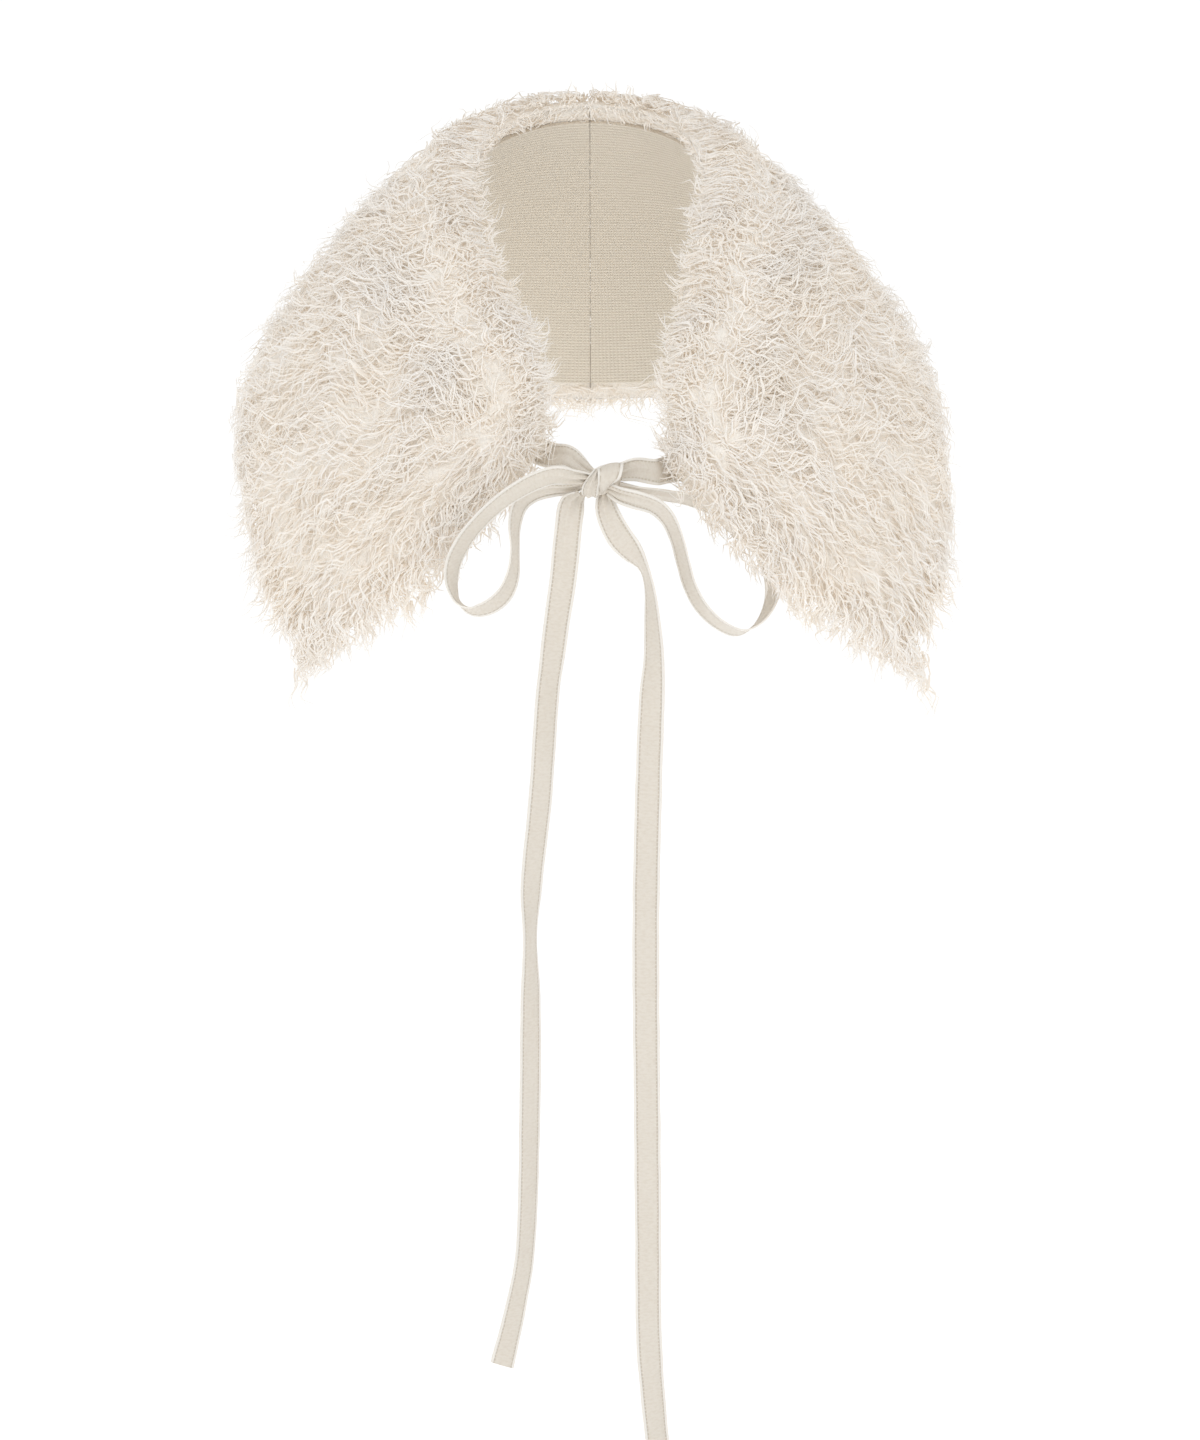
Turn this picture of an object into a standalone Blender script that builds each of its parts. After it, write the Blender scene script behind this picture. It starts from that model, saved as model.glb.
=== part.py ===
"""Fur collar wrap: a crescent band of long curly fur cloth, tied in front with ribbon.

The collar is open and hollow, in the shape it takes round a neck and over the shoulders.
Two halves meet at the centre-back seam. Each half is a base cloth and the pile on it, and
a flat ribbon leaves each front corner for the bow.

Units are metres, +Z is up and the front of the collar looks along -Y. The origin is on the
neck's axis, level with the pit of the neck.
"""

import math
from typing import NamedTuple

import bmesh
import bpy
import numpy as np

GAP = 0.0003                 # clear gap between pieces that touch
BASE_WALL = 0.0020           # knitted base cloth of the fur
RIBBON_WIDTH = 0.0125
RIBBON_WALL = 0.0010
SEAM_HALF_GAP = GAP / 2.0    # each half stops this far from the centre-back plane

CUTS = 44                    # steps along a half, in base cloth and pile alike
BASE_ROWS = 6                # steps across the base cloth
NOSE_STEPS = 5               # steps round each rounded edge of the pile
CROWN_STEPS = 9              # steps across the pile between its rounded edges
NECK_NOSE = 0.018            # how far in from its neck edge the pile is rounded
HEM_NOSE = 0.030             # and from its outer edge
FUR_LIP = 0.0012             # least depth of the pile, at its very edge
NECK_DROOP = 0.004           # how far the pile curls in behind the neck edge
HEM_DROOP = 0.002            # and behind the outer edge
FRONT_SHARE = 0.12           # last share of a half, where the pile's back comes up flat
LOCK_SWELL = 0.09            # swell of the locks, as a share of the pile's depth
LOCK_LENGTH = 0.034          # length of one wave of the locks, round the band
LOCK_BEND = 0.35             # how far a wave bends to and fro on its way across, in wavelengths
LOCK_BEND_PITCH = 0.016      # and over what distance
RIPPLE_LENGTH = 0.047        # length of the slower ripple across the band
RIPPLE_DRIFT = 0.021         # distance round the band in which that ripple shifts by a radian
LOCK_PITCH = 0.022           # from one pointed lock at an edge to the next
LOCK_DEPTH = 0.40            # depth of the notch between two, as a share of the overhang
TIE_SEWN = 0.009             # length of ribbon sewn under a front corner
TIE_CLEAR = 0.008            # where the ribbon is clear of that corner
END_STEPS = (0.22, 0.44, 0.64, 0.80, 0.92, 1.0)   # steps out over the front end
STATIONS_PER_ROW = 3         # ribbon cross-sections for each row of a route
SMOOTH_ANGLE = math.radians(50.0)

BASE_COLOUR = (0.80, 0.74, 0.64)
PILE_COLOUR = (0.86, 0.80, 0.71)
RIBBON_COLOUR = (0.84, 0.79, 0.70)
BASE_ROUGHNESS = 0.95
PILE_ROUGHNESS = 0.90
RIBBON_ROUGHNESS = 0.60


class Cut(NamedTuple):
    """One cut across a half of the band: where the base cloth's edges run, and its pile."""

    neck_out: float     # neck edge: distance from the centre plane
    neck_y: float
    neck_z: float
    hem_out: float      # outer edge: distance from the centre plane
    hem_y: float
    hem_z: float
    crown: float        # how far the cloth bulges outwards between its edges
    pile: float         # depth of the pile half-way across
    roll: float         # how far the pile laps over the neck edge
    fringe: float       # how far the pile hangs past the outer edge


class Reach(NamedTuple):
    """How far the pile hangs past the front end, at one place across the band."""

    across: float       # 0 at the neck edge, 1 at the outer edge
    reach: float


class Turn(NamedTuple):
    """One row of a ribbon's route: a point of its centre line and its width's direction."""

    x: float
    y: float
    z: float
    across_x: float
    across_y: float
    across_z: float
    width: float        # share of the full width, less where the ribbon is gathered


class Ring(NamedTuple):
    """One level ring of the knot."""

    rise: float         # height from the knot's middle
    shift: float        # sideways from the knot's middle
    half_width: float
    half_depth: float


# From the centre back, over the shoulder, to where the two fronts begin to differ.
SHOULDER_CUTS = (
    Cut(0.000, 0.080, 0.089, 0.000, 0.136, -0.050, 0.006, 0.025, 0.012, 0.015),
    Cut(0.029, 0.073, 0.086, 0.066, 0.121, -0.046, 0.006, 0.025, 0.012, 0.015),
    Cut(0.051, 0.052, 0.077, 0.116, 0.084, -0.044, 0.006, 0.025, 0.012, 0.015),
    Cut(0.061, 0.020, 0.061, 0.147, 0.033, -0.046, 0.008, 0.025, 0.012, 0.014),
    Cut(0.057, -0.014, 0.039, 0.152, -0.016, -0.058, 0.010, 0.025, 0.012, 0.013),
)
LEFT_FRONT_CUTS = (
    Cut(0.046, -0.046, 0.016, 0.147, -0.050, -0.084, 0.010, 0.024, 0.013, 0.014),
    Cut(0.031, -0.075, -0.012, 0.139, -0.071, -0.108, 0.008, 0.022, 0.014, 0.015),
    Cut(0.026, -0.094, -0.043, 0.127, -0.084, -0.127, 0.004, 0.019, 0.012, 0.015),
)
RIGHT_FRONT_CUTS = (
    Cut(0.051, -0.046, 0.014, 0.155, -0.050, -0.082, 0.010, 0.024, 0.013, 0.015),
    Cut(0.044, -0.075, -0.016, 0.151, -0.071, -0.107, 0.008, 0.022, 0.013, 0.016),
    Cut(0.042, -0.095, -0.052, 0.142, -0.084, -0.128, 0.004, 0.019, 0.010, 0.016),
)
FRONT_END = (
    Reach(-0.08, 0.006),
    Reach(0.00, 0.011),
    Reach(0.20, 0.022),
    Reach(0.55, 0.027),
    Reach(0.90, 0.021),
    Reach(1.10, 0.014),
)

# The ribbons' routes. A tie runs from its front corner to the knot, a loop leaves the knot
# and comes back to it, and a tail hangs from the knot.
TIE_LEFT = (
    Turn(-0.0105, -0.1060, -0.0450, 0.05, -0.62, -0.78, 0.85),
    Turn(-0.0046, -0.1120, -0.0476, 0.22, -0.72, -0.65, 0.70),
    Turn(0.0013, -0.1160, -0.0508, 0.25, -0.75, -0.60, 0.45),
)
TIE_RIGHT = (
    Turn(0.0300, -0.1080, -0.0520, 0.00, -0.35, -0.93, 0.85),
    Turn(0.0214, -0.1135, -0.0498, 0.00, -0.35, -0.93, 0.75),
    Turn(0.0139, -0.1165, -0.0506, 0.00, -0.35, -0.93, 0.50),
)
LOOP_LEFT = (
    Turn(-0.0004, -0.1206, -0.0524, 0.20, 0.50, -0.84, 0.45),
    Turn(-0.0068, -0.1240, -0.0514, 0.20, 0.55, -0.81, 0.70),
    Turn(-0.0153, -0.1270, -0.0499, 0.22, 0.60, -0.77, 0.95),
    Turn(-0.0244, -0.1280, -0.0525, 0.25, 0.65, -0.72, 1.0),
    Turn(-0.0335, -0.1280, -0.0575, 0.28, 0.70, -0.66, 1.0),
    Turn(-0.0417, -0.1270, -0.0637, 0.32, 0.74, -0.59, 1.0),
    Turn(-0.0494, -0.1260, -0.0713, 0.34, 0.76, -0.55, 1.0),
    Turn(-0.0564, -0.1240, -0.0804, 0.34, 0.77, -0.54, 1.0),
    Turn(-0.0616, -0.1220, -0.0911, 0.34, 0.77, -0.54, 1.0),
    Turn(-0.0626, -0.1200, -0.1013, 0.34, 0.77, -0.54, 1.0),
    Turn(-0.0596, -0.1190, -0.1104, 0.34, 0.77, -0.54, 1.0),
    Turn(-0.0532, -0.1180, -0.1148, 0.34, 0.77, -0.54, 1.0),
    Turn(-0.0454, -0.1180, -0.1129, 0.36, 0.74, -0.57, 1.0),
    Turn(-0.0385, -0.1170, -0.1071, 0.38, 0.72, -0.58, 1.0),
    Turn(-0.0348, -0.1160, -0.0979, 0.34, 0.77, -0.54, 1.0),
    Turn(-0.0339, -0.1140, -0.0871, 0.26, 0.85, -0.46, 1.0),
    Turn(-0.0339, -0.1130, -0.0757, 0.34, 0.77, -0.54, 1.0),
    Turn(-0.0315, -0.1120, -0.0666, 0.34, 0.72, -0.60, 1.0),
    Turn(-0.0256, -0.1110, -0.0617, 0.20, 0.70, -0.68, 1.0),
    Turn(-0.0169, -0.1110, -0.0598, 0.10, 0.75, -0.65, 0.90),
    Turn(-0.0095, -0.1120, -0.0592, 0.10, 0.75, -0.65, 0.70),
    Turn(-0.0036, -0.1140, -0.0572, 0.10, 0.75, -0.65, 0.40),
)
LOOP_RIGHT = (
    Turn(0.0087, -0.1212, -0.0576, -0.30, 0.60, -0.74, 0.45),
    Turn(0.0141, -0.1240, -0.0601, -0.30, 0.60, -0.74, 0.75),
    Turn(0.0222, -0.1250, -0.0622, -0.30, 0.65, -0.70, 1.0),
    Turn(0.0300, -0.1240, -0.0652, -0.32, 0.72, -0.62, 1.0),
    Turn(0.0359, -0.1220, -0.0716, -0.35, 0.80, -0.49, 1.0),
    Turn(0.0401, -0.1200, -0.0813, -0.35, 0.84, -0.42, 1.0),
    Turn(0.0429, -0.1180, -0.0919, -0.35, 0.84, -0.42, 1.0),
    Turn(0.0462, -0.1160, -0.1035, -0.35, 0.84, -0.42, 1.0),
    Turn(0.0518, -0.1150, -0.1141, -0.35, 0.84, -0.42, 1.0),
    Turn(0.0602, -0.1140, -0.1223, -0.35, 0.84, -0.42, 1.0),
    Turn(0.0699, -0.1120, -0.1265, -0.35, 0.84, -0.42, 1.0),
    Turn(0.0787, -0.1070, -0.1227, -0.40, 0.82, -0.41, 1.0),
    Turn(0.0843, -0.0985, -0.1144, -0.48, 0.80, -0.36, 1.0),
    Turn(0.0853, -0.0930, -0.1037, -0.62, 0.72, -0.31, 1.0),
    Turn(0.0813, -0.0885, -0.0936, -0.60, 0.75, -0.30, 1.0),
    Turn(0.0754, -0.0865, -0.0862, -0.50, 0.80, -0.35, 1.0),
    Turn(0.0675, -0.0860, -0.0795, -0.35, 0.80, -0.50, 1.0),
    Turn(0.0581, -0.0880, -0.0732, -0.25, 0.80, -0.55, 1.0),
    Turn(0.0464, -0.0915, -0.0680, -0.20, 0.82, -0.54, 1.0),
    Turn(0.0348, -0.1000, -0.0642, -0.15, 0.85, -0.50, 1.0),
    Turn(0.0233, -0.1095, -0.0601, -0.15, 0.85, -0.50, 0.85),
    Turn(0.0126, -0.1150, -0.0562, -0.15, 0.85, -0.50, 0.50),
)
TAIL_LEFT = (
    Turn(-0.0041, -0.1140, -0.0600, 0.95, 0.10, 0.30, 0.60),
    Turn(-0.0073, -0.1120, -0.0640, 0.99, 0.10, 0.10, 0.85),
    Turn(-0.0087, -0.1120, -0.0703, 1.00, 0.00, 0.00, 1.0),
    Turn(-0.0101, -0.1130, -0.0827, 1.00, 0.00, 0.00, 1.0),
    Turn(-0.0120, -0.1150, -0.1009, 0.99, 0.14, 0.00, 1.0),
    Turn(-0.0147, -0.1165, -0.1194, 0.95, 0.31, 0.00, 1.0),
    Turn(-0.0171, -0.1180, -0.1379, 0.88, 0.47, 0.00, 1.0),
    Turn(-0.0194, -0.1200, -0.1563, 0.84, 0.54, 0.00, 1.0),
    Turn(-0.0227, -0.1240, -0.2029, 0.84, 0.54, 0.00, 1.0),
    Turn(-0.0266, -0.1260, -0.2408, 0.78, 0.62, 0.00, 1.0),
    Turn(-0.0276, -0.1280, -0.2693, 0.47, 0.88, 0.00, 1.0),
    Turn(-0.0275, -0.1280, -0.3010, 0.71, 0.70, 0.00, 1.0),
    Turn(-0.0279, -0.1280, -0.3479, 0.76, 0.65, 0.00, 1.0),
    Turn(-0.0301, -0.1280, -0.4180, 0.70, 0.71, 0.00, 1.0),
    Turn(-0.0350, -0.1280, -0.4510, 0.80, 0.60, -0.05, 1.0),
    Turn(-0.0419, -0.1280, -0.4817, 0.90, 0.40, -0.15, 1.0),
)
TAIL_RIGHT = (
    Turn(0.0071, -0.1165, -0.0600, 0.95, -0.20, 0.20, 0.42),
    Turn(0.0073, -0.1175, -0.0644, 0.97, -0.20, 0.20, 0.70),
    Turn(0.0092, -0.1185, -0.0710, 0.97, -0.15, 0.25, 0.90),
    Turn(0.0136, -0.1190, -0.0795, 0.92, -0.10, 0.38, 1.0),
    Turn(0.0196, -0.1190, -0.0870, 0.70, -0.50, 0.40, 1.0),
    Turn(0.0251, -0.1195, -0.0944, 0.35, -0.90, 0.20, 1.0),
    Turn(0.0279, -0.1200, -0.1045, 0.35, -0.92, 0.10, 1.0),
    Turn(0.0290, -0.1210, -0.1184, 0.55, -0.83, 0.00, 1.0),
    Turn(0.0298, -0.1220, -0.1369, 0.72, -0.69, 0.00, 1.0),
    Turn(0.0289, -0.1230, -0.1556, 0.92, -0.40, 0.00, 1.0),
    Turn(0.0276, -0.1250, -0.1931, 0.98, -0.20, 0.00, 1.0),
    Turn(0.0264, -0.1270, -0.2502, 1.00, 0.00, 0.00, 1.0),
    Turn(0.0265, -0.1280, -0.2986, 1.00, 0.00, 0.00, 1.0),
    Turn(0.0271, -0.1280, -0.3479, 1.00, 0.00, 0.00, 1.0),
    Turn(0.0278, -0.1280, -0.4180, 0.99, 0.14, 0.00, 1.0),
    Turn(0.0284, -0.1280, -0.4689, 0.97, 0.24, 0.00, 1.0),
    Turn(0.0314, -0.1280, -0.5100, 0.88, 0.47, 0.00, 1.0),
    Turn(0.0349, -0.1280, -0.5412, 0.88, 0.47, 0.00, 1.0),
)

KNOT_MIDDLE = (0.0068, -0.1180, -0.0526)
KNOT_SIDES = 12
KNOT_RINGS = (
    Ring(-0.0092, -0.0072, 0.0028, 0.0010),
    Ring(-0.0070, -0.0062, 0.0038, 0.0020),
    Ring(-0.0040, -0.0044, 0.0050, 0.0034),
    Ring(-0.0010, -0.0018, 0.0052, 0.0042),
    Ring(0.0018, 0.0002, 0.0050, 0.0045),
    Ring(0.0038, 0.0014, 0.0050, 0.0038),
    Ring(0.0054, 0.0042, 0.0036, 0.0024),
    Ring(0.0066, 0.0074, 0.0012, 0.0010),
)


def clear_scene() -> None:
    """Remove whatever the scene holds."""
    for old in list(bpy.data.objects):
        bpy.data.objects.remove(old, do_unlink=True)


def make_material(name: str, colour: tuple, roughness: float) -> bpy.types.Material:
    """Return a plain cloth material."""
    material = bpy.data.materials.new(name)
    material.use_nodes = True
    shader = material.node_tree.nodes["Principled BSDF"]
    shader.inputs["Base Color"].default_value = (*colour, 1.0)
    shader.inputs["Roughness"].default_value = roughness
    shader.inputs["Metallic"].default_value = 0.0
    return material


def unit(vectors: np.ndarray) -> np.ndarray:
    """Return the vectors, along the last axis, at length 1."""
    return vectors / np.linalg.norm(vectors, axis=-1, keepdims=True)


def smooth_rows(rows: np.ndarray, before: np.ndarray, places: np.ndarray) -> np.ndarray:
    """Return table rows read at fractional row numbers, on a smooth curve through them.

    `before` is the row that stands in before the first one.
    """
    after = 2.0 * rows[-1] - rows[-2]
    padded = np.vstack([before, rows, after])
    first = np.clip(np.floor(places).astype(int), 0, len(rows) - 2)
    f = (places - first)[:, None]
    p0, p1, p2, p3 = (padded[first + k] for k in range(4))
    return 0.5 * (
        2.0 * p1
        + (p2 - p0) * f
        + (2.0 * p0 - 5.0 * p1 + 4.0 * p2 - p3) * f**2
        + (3.0 * p1 - p0 - 3.0 * p2 + p3) * f**3
    )


class Half:
    """One half of the band, as a surface: s runs from centre back to front, t from neck to hem."""

    def __init__(self, side: int, cuts: tuple):
        self.side = side
        self.rows = np.array(cuts)
        mirrored = self.rows[1].copy()
        mirrored[[0, 3]] *= -1.0
        self.before = mirrored

    def cut(self, s: np.ndarray) -> np.ndarray:
        """Return the table's columns at each s."""
        return smooth_rows(self.rows, self.before, s * (len(self.rows) - 1))

    def cloth(self, s: np.ndarray, t: np.ndarray) -> np.ndarray:
        """Return points midway through the base cloth, before its crown is added."""
        cut = self.cut(s)
        point = cut[:, 0:3] * (1.0 - t)[:, None] + cut[:, 3:6] * t[:, None]
        point[:, 0] = self.side * (point[:, 0] + SEAM_HALF_GAP)
        return point

    def outward(self, s: np.ndarray, t: np.ndarray) -> np.ndarray:
        """Return the directions that point away from the body."""
        d = 1e-4
        along = self.cloth(s + d, t) - self.cloth(s - d, t)
        across = self.cloth(s, t + d) - self.cloth(s, t - d)
        return unit(np.cross(along, across)) * self.side

    def surface(self, s: np.ndarray, t: np.ndarray) -> tuple:
        """Return the base cloth's points and outward directions, with the crown."""
        crown = self.cut(s)[:, 6]
        inside = np.clip(t, 0.0, 1.0)
        out = self.outward(s, inside)
        bulge = crown * 4.0 * t * (1.0 - t)
        return self.cloth(s, t) + out * bulge[:, None], out

    def band_width(self, s: float) -> float:
        """Return the straight distance from neck edge to hem."""
        ends = self.cloth(np.array([s, s]), np.array([0.0, 1.0]))
        return float(np.linalg.norm(ends[1] - ends[0]))


def new_object(name: str, points: list, faces: list, material: bpy.types.Material,
               smooth: bool) -> bpy.types.Object:
    """Make one closed object with its faces turned outwards."""
    bm = bmesh.new()
    verts = [bm.verts.new(tuple(float(v) for v in p)) for p in points]
    for face in faces:
        bm.faces.new([verts[k] for k in face])
    bmesh.ops.recalc_face_normals(bm, faces=bm.faces)
    mesh = bpy.data.meshes.new(name)
    bm.to_mesh(mesh)
    bm.free()
    if smooth:
        mesh.shade_smooth()
        mesh.set_sharp_from_angle(angle=SMOOTH_ANGLE)
    mesh.materials.append(material)
    piece = bpy.data.objects.new(name, mesh)
    bpy.context.scene.collection.objects.link(piece)
    return piece


def loft(name: str, rings: list, material: bpy.types.Material, smooth: bool) -> bpy.types.Object:
    """Join closed rings of equal point count into one solid with flat ends.

    Every patch is split the same way, so walls built on the same rows stay parallel.
    """
    count = len(rings[0])
    points = [p for ring in rings for p in ring]
    faces = []
    for i in range(len(rings) - 1):
        for k in range(count):
            n = (k + 1) % count
            near, far = i * count, (i + 1) * count
            faces.append((near + k, near + n, far + n))
            faces.append((near + k, far + n, far + k))
    faces.append(tuple(range(count)))
    faces.append(tuple((len(rings) - 1) * count + k for k in range(count)))
    return new_object(name, points, faces, material, smooth)


def make_base(name: str, half: Half, material: bpy.types.Material) -> bpy.types.Object:
    """Make the base cloth of one half: a thin wall with rings of inner and outer points."""
    across = np.linspace(0.0, 1.0, BASE_ROWS + 1)
    rings = []
    for s in np.linspace(0.0, 1.0, CUTS + 1):
        point, out = half.surface(np.full(len(across), s), across)
        outer = point + out * BASE_WALL / 2.0
        inner = point - out * BASE_WALL / 2.0
        rings.append(list(outer) + list(inner[::-1]))
    return loft(name, rings, material, True)


def rounded(x: np.ndarray) -> np.ndarray:
    """Return a quarter-round profile: 0 at x = 0 and 1 from x = 1 on."""
    return np.sqrt(1.0 - (1.0 - np.clip(x, 0.0, 1.0)) ** 2)


def locks(along: float, across: np.ndarray) -> np.ndarray:
    """Return the gentle swell of the pile's locks over the band, about -1 to 1."""
    bend = LOCK_BEND * np.sin(across / LOCK_BEND_PITCH)
    wave = np.sin(2.0 * math.pi * (along / LOCK_LENGTH + bend))
    ripple = np.sin(2.0 * math.pi * across / RIPPLE_LENGTH + along / RIPPLE_DRIFT)
    return 0.6 * wave + 0.4 * ripple


def lock_point(along: float) -> float:
    """Return 1 at the tip of each pointed lock of an edge and 0 between two."""
    return abs(2.0 * (along / LOCK_PITCH % 1.0) - 1.0)


def make_fur(name: str, half: Half, material: bpy.types.Material) -> bpy.types.Object:
    """Make the pile of one half: deep in the middle, rounded over its edges."""
    reach_table = np.array(FRONT_END)
    rings = []
    along = 0.0
    last = half.cloth(np.array([0.0]), np.array([1.0]))[0]
    lift = BASE_WALL / 2.0 + GAP
    for step in range(CUTS + 1 + len(END_STEPS)):
        s = min(step / CUTS, 1.0)
        beyond = END_STEPS[step - CUTS - 1] if step > CUTS else 0.0
        hem = half.cloth(np.array([s]), np.array([1.0]))[0]
        along += float(np.linalg.norm(hem - last))
        last = hem
        pile, roll, fringe = half.cut(np.array([s]))[0, 7:10]
        width = half.band_width(s)
        fringe = fringe * (1.0 - LOCK_DEPTH + LOCK_DEPTH * lock_point(along))
        neck_side = NECK_NOSE * (1.0 - np.cos(np.linspace(0.0, math.pi / 2.0, NOSE_STEPS + 1)))
        hem_side = HEM_NOSE * (1.0 - np.cos(np.linspace(0.0, math.pi / 2.0, NOSE_STEPS + 1)))
        middle = np.linspace(NECK_NOSE - roll, width + fringe - HEM_NOSE, CROWN_STEPS + 1)
        top = np.concatenate([neck_side - roll, middle[1:-1], (width + fringe - hem_side)[::-1]])
        nose = rounded((top + roll) / NECK_NOSE) * rounded((width + fringe - top) / HEM_NOSE)
        deep = pile * (1.0 + LOCK_SWELL * locks(along, top))
        height = np.maximum(deep * nose * math.sqrt(1.0 - beyond**2), FUR_LIP) + lift
        rows = width * np.arange(1, BASE_ROWS) / BASE_ROWS
        bottom = np.concatenate([[-0.5 * roll, -GAP], rows, [width + GAP, width + 0.5 * fringe]])
        slack = min(1.0, (1.0 - s) / FRONT_SHARE)
        droop = np.zeros(len(bottom))
        droop[0], droop[-1] = NECK_DROOP * slack, HEM_DROOP * slack
        a = np.concatenate([bottom, top[::-1]])
        n = np.concatenate([lift - droop, height[::-1]])
        t = a / width
        point, out = half.surface(np.full(len(a), s), t)
        ring = point + out * n[:, None]
        if beyond:
            before = half.surface(np.full(len(a), s - 1e-3), t)[0]
            reach = np.interp(t, reach_table[:, 0], reach_table[:, 1])
            tufts = 1.0 - LOCK_DEPTH + LOCK_DEPTH * np.array([lock_point(v) for v in a])
            ring = ring + unit(point - before) * (reach * tufts * beyond)[:, None]
        rings.append(list(ring))
    return loft(name, rings, material, True)


def sewn_start(half: Half, knot: tuple) -> tuple:
    """Return the first rows of a tie: flat under its front corner, then clear of it."""
    corner, out = (v[0] for v in half.surface(np.array([1.0]), np.array([0.0])))
    towards = np.array(knot) - corner
    towards = unit(towards - out * np.dot(towards, out))
    across = np.cross(out, towards)
    across = across if across[2] < 0.0 else -across
    under = corner - out * (BASE_WALL / 2.0 + GAP + RIBBON_WALL / 2.0)
    ends = (under - towards * TIE_SEWN, under + towards * TIE_CLEAR)
    return tuple(Turn(*end, *across, 1.0) for end in ends)


def make_ribbon(name: str, route: tuple, material: bpy.types.Material) -> bpy.types.Object:
    """Make a flat ribbon along its route."""
    rows = np.array(route)
    before = 2.0 * rows[0] - rows[1]
    places = np.linspace(0.0, len(rows) - 1.0, (len(rows) - 1) * STATIONS_PER_ROW + 1)
    read = smooth_rows(rows, before, places)
    centre = read[:, 0:3]
    tangent = unit(np.gradient(centre, axis=0))
    across = read[:, 3:6]
    across = unit(across - tangent * np.sum(across * tangent, axis=1, keepdims=True))
    through = np.cross(tangent, across)
    rings = []
    for point, side, up, share in zip(centre, across, through, read[:, 6]):
        w = side * RIBBON_WIDTH * share / 2.0
        h = up * RIBBON_WALL / 2.0
        rings.append([point - w - h, point + w - h, point + w + h, point - w + h])
    return loft(name, rings, material, False)


def make_knot(material: bpy.types.Material) -> bpy.types.Object:
    """Make the knot: broad in the middle, narrow below, drawn out to one side at the top."""
    x, y, z = KNOT_MIDDLE
    rings = []
    for ring in KNOT_RINGS:
        turns = [2.0 * math.pi * k / KNOT_SIDES for k in range(KNOT_SIDES)]
        rings.append([
            (x + ring.shift + ring.half_width * math.cos(turn),
             y + ring.half_depth * math.sin(turn),
             z + ring.rise)
            for turn in turns
        ])
    return loft("knot", rings, material, True)


def main() -> None:
    """Build every piece."""
    clear_scene()
    halves = {
        "left": Half(-1, SHOULDER_CUTS + LEFT_FRONT_CUTS),
        "right": Half(1, SHOULDER_CUTS + RIGHT_FRONT_CUTS),
    }
    for side, half in halves.items():
        cloth = make_material(f"base_cloth_{side}", BASE_COLOUR, BASE_ROUGHNESS)
        make_base(f"base_{side}", half, cloth)
        pile = make_material(f"pile_{side}", PILE_COLOUR, PILE_ROUGHNESS)
        make_fur(f"fur_{side}", half, pile)
    routes = {
        "tie_left": sewn_start(halves["left"], KNOT_MIDDLE) + TIE_LEFT,
        "tie_right": sewn_start(halves["right"], KNOT_MIDDLE) + TIE_RIGHT,
        "loop_left": LOOP_LEFT,
        "loop_right": LOOP_RIGHT,
        "tail_left": TAIL_LEFT,
        "tail_right": TAIL_RIGHT,
    }
    for name, route in routes.items():
        make_ribbon(name, route, make_material(f"ribbon_{name}", RIBBON_COLOUR, RIBBON_ROUGHNESS))
    make_knot(make_material("ribbon_knot", RIBBON_COLOUR, RIBBON_ROUGHNESS))


main()
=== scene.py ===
"""Looks of the fur collar wrap: curly pile on a knitted backing, tied with flat ribbon.

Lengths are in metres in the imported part's own frame: +Z is up, the front of the collar
looks along -Y, and the origin is on the neck's axis, level with the pit of the neck.
"""

import logging
import math
from collections.abc import Callable
from dataclasses import dataclass, field
from enum import Enum
from typing import NamedTuple

import bpy
import numpy as np
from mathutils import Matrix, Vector


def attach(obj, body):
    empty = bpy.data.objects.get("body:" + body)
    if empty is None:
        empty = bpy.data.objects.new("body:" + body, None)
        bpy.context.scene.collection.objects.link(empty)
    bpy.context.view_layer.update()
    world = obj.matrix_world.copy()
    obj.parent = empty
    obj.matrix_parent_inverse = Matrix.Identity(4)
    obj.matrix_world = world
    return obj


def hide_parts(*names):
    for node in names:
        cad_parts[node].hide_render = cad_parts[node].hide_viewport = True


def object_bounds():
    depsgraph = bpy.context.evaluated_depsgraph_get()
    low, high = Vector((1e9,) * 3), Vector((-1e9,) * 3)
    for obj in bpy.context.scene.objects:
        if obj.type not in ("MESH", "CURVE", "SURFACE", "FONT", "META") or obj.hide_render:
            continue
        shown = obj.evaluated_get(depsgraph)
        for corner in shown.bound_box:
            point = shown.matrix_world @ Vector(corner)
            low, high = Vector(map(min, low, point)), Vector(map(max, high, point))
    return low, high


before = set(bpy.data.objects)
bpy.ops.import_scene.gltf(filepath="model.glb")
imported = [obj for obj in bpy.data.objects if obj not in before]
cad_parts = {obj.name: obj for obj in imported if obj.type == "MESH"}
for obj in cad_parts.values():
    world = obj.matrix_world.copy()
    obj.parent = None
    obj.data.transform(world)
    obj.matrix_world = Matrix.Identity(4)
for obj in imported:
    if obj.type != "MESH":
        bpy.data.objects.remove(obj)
CAD_LOW, CAD_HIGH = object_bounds()

LOG = logging.getLogger("collar")

BODY = "root"
GAP = 0.0003                 # clear gap between pieces that touch
BACKING_WALL = 0.0020        # knitted backing of the fur cloth
RIBBON_WIDTH = 0.0125
RIBBON_WALL = 0.0007
SOLID_RIBBON_WALL = 0.0010   # the ribbons' wall in the solids, which the ties leave room for
TIE_SEWN = 0.009             # how much of a tie lies flat under its front corner
TIE_CLEAR = 0.008            # how far past the corner it runs on before it turns
SCATTER_STEPS = (0.7548776662, 0.5698402910, 0.3141592654)  # of an even scatter, on three axes
IMAGE_HEIGHT = 1440          # pixels of the long side of the picture


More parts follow.
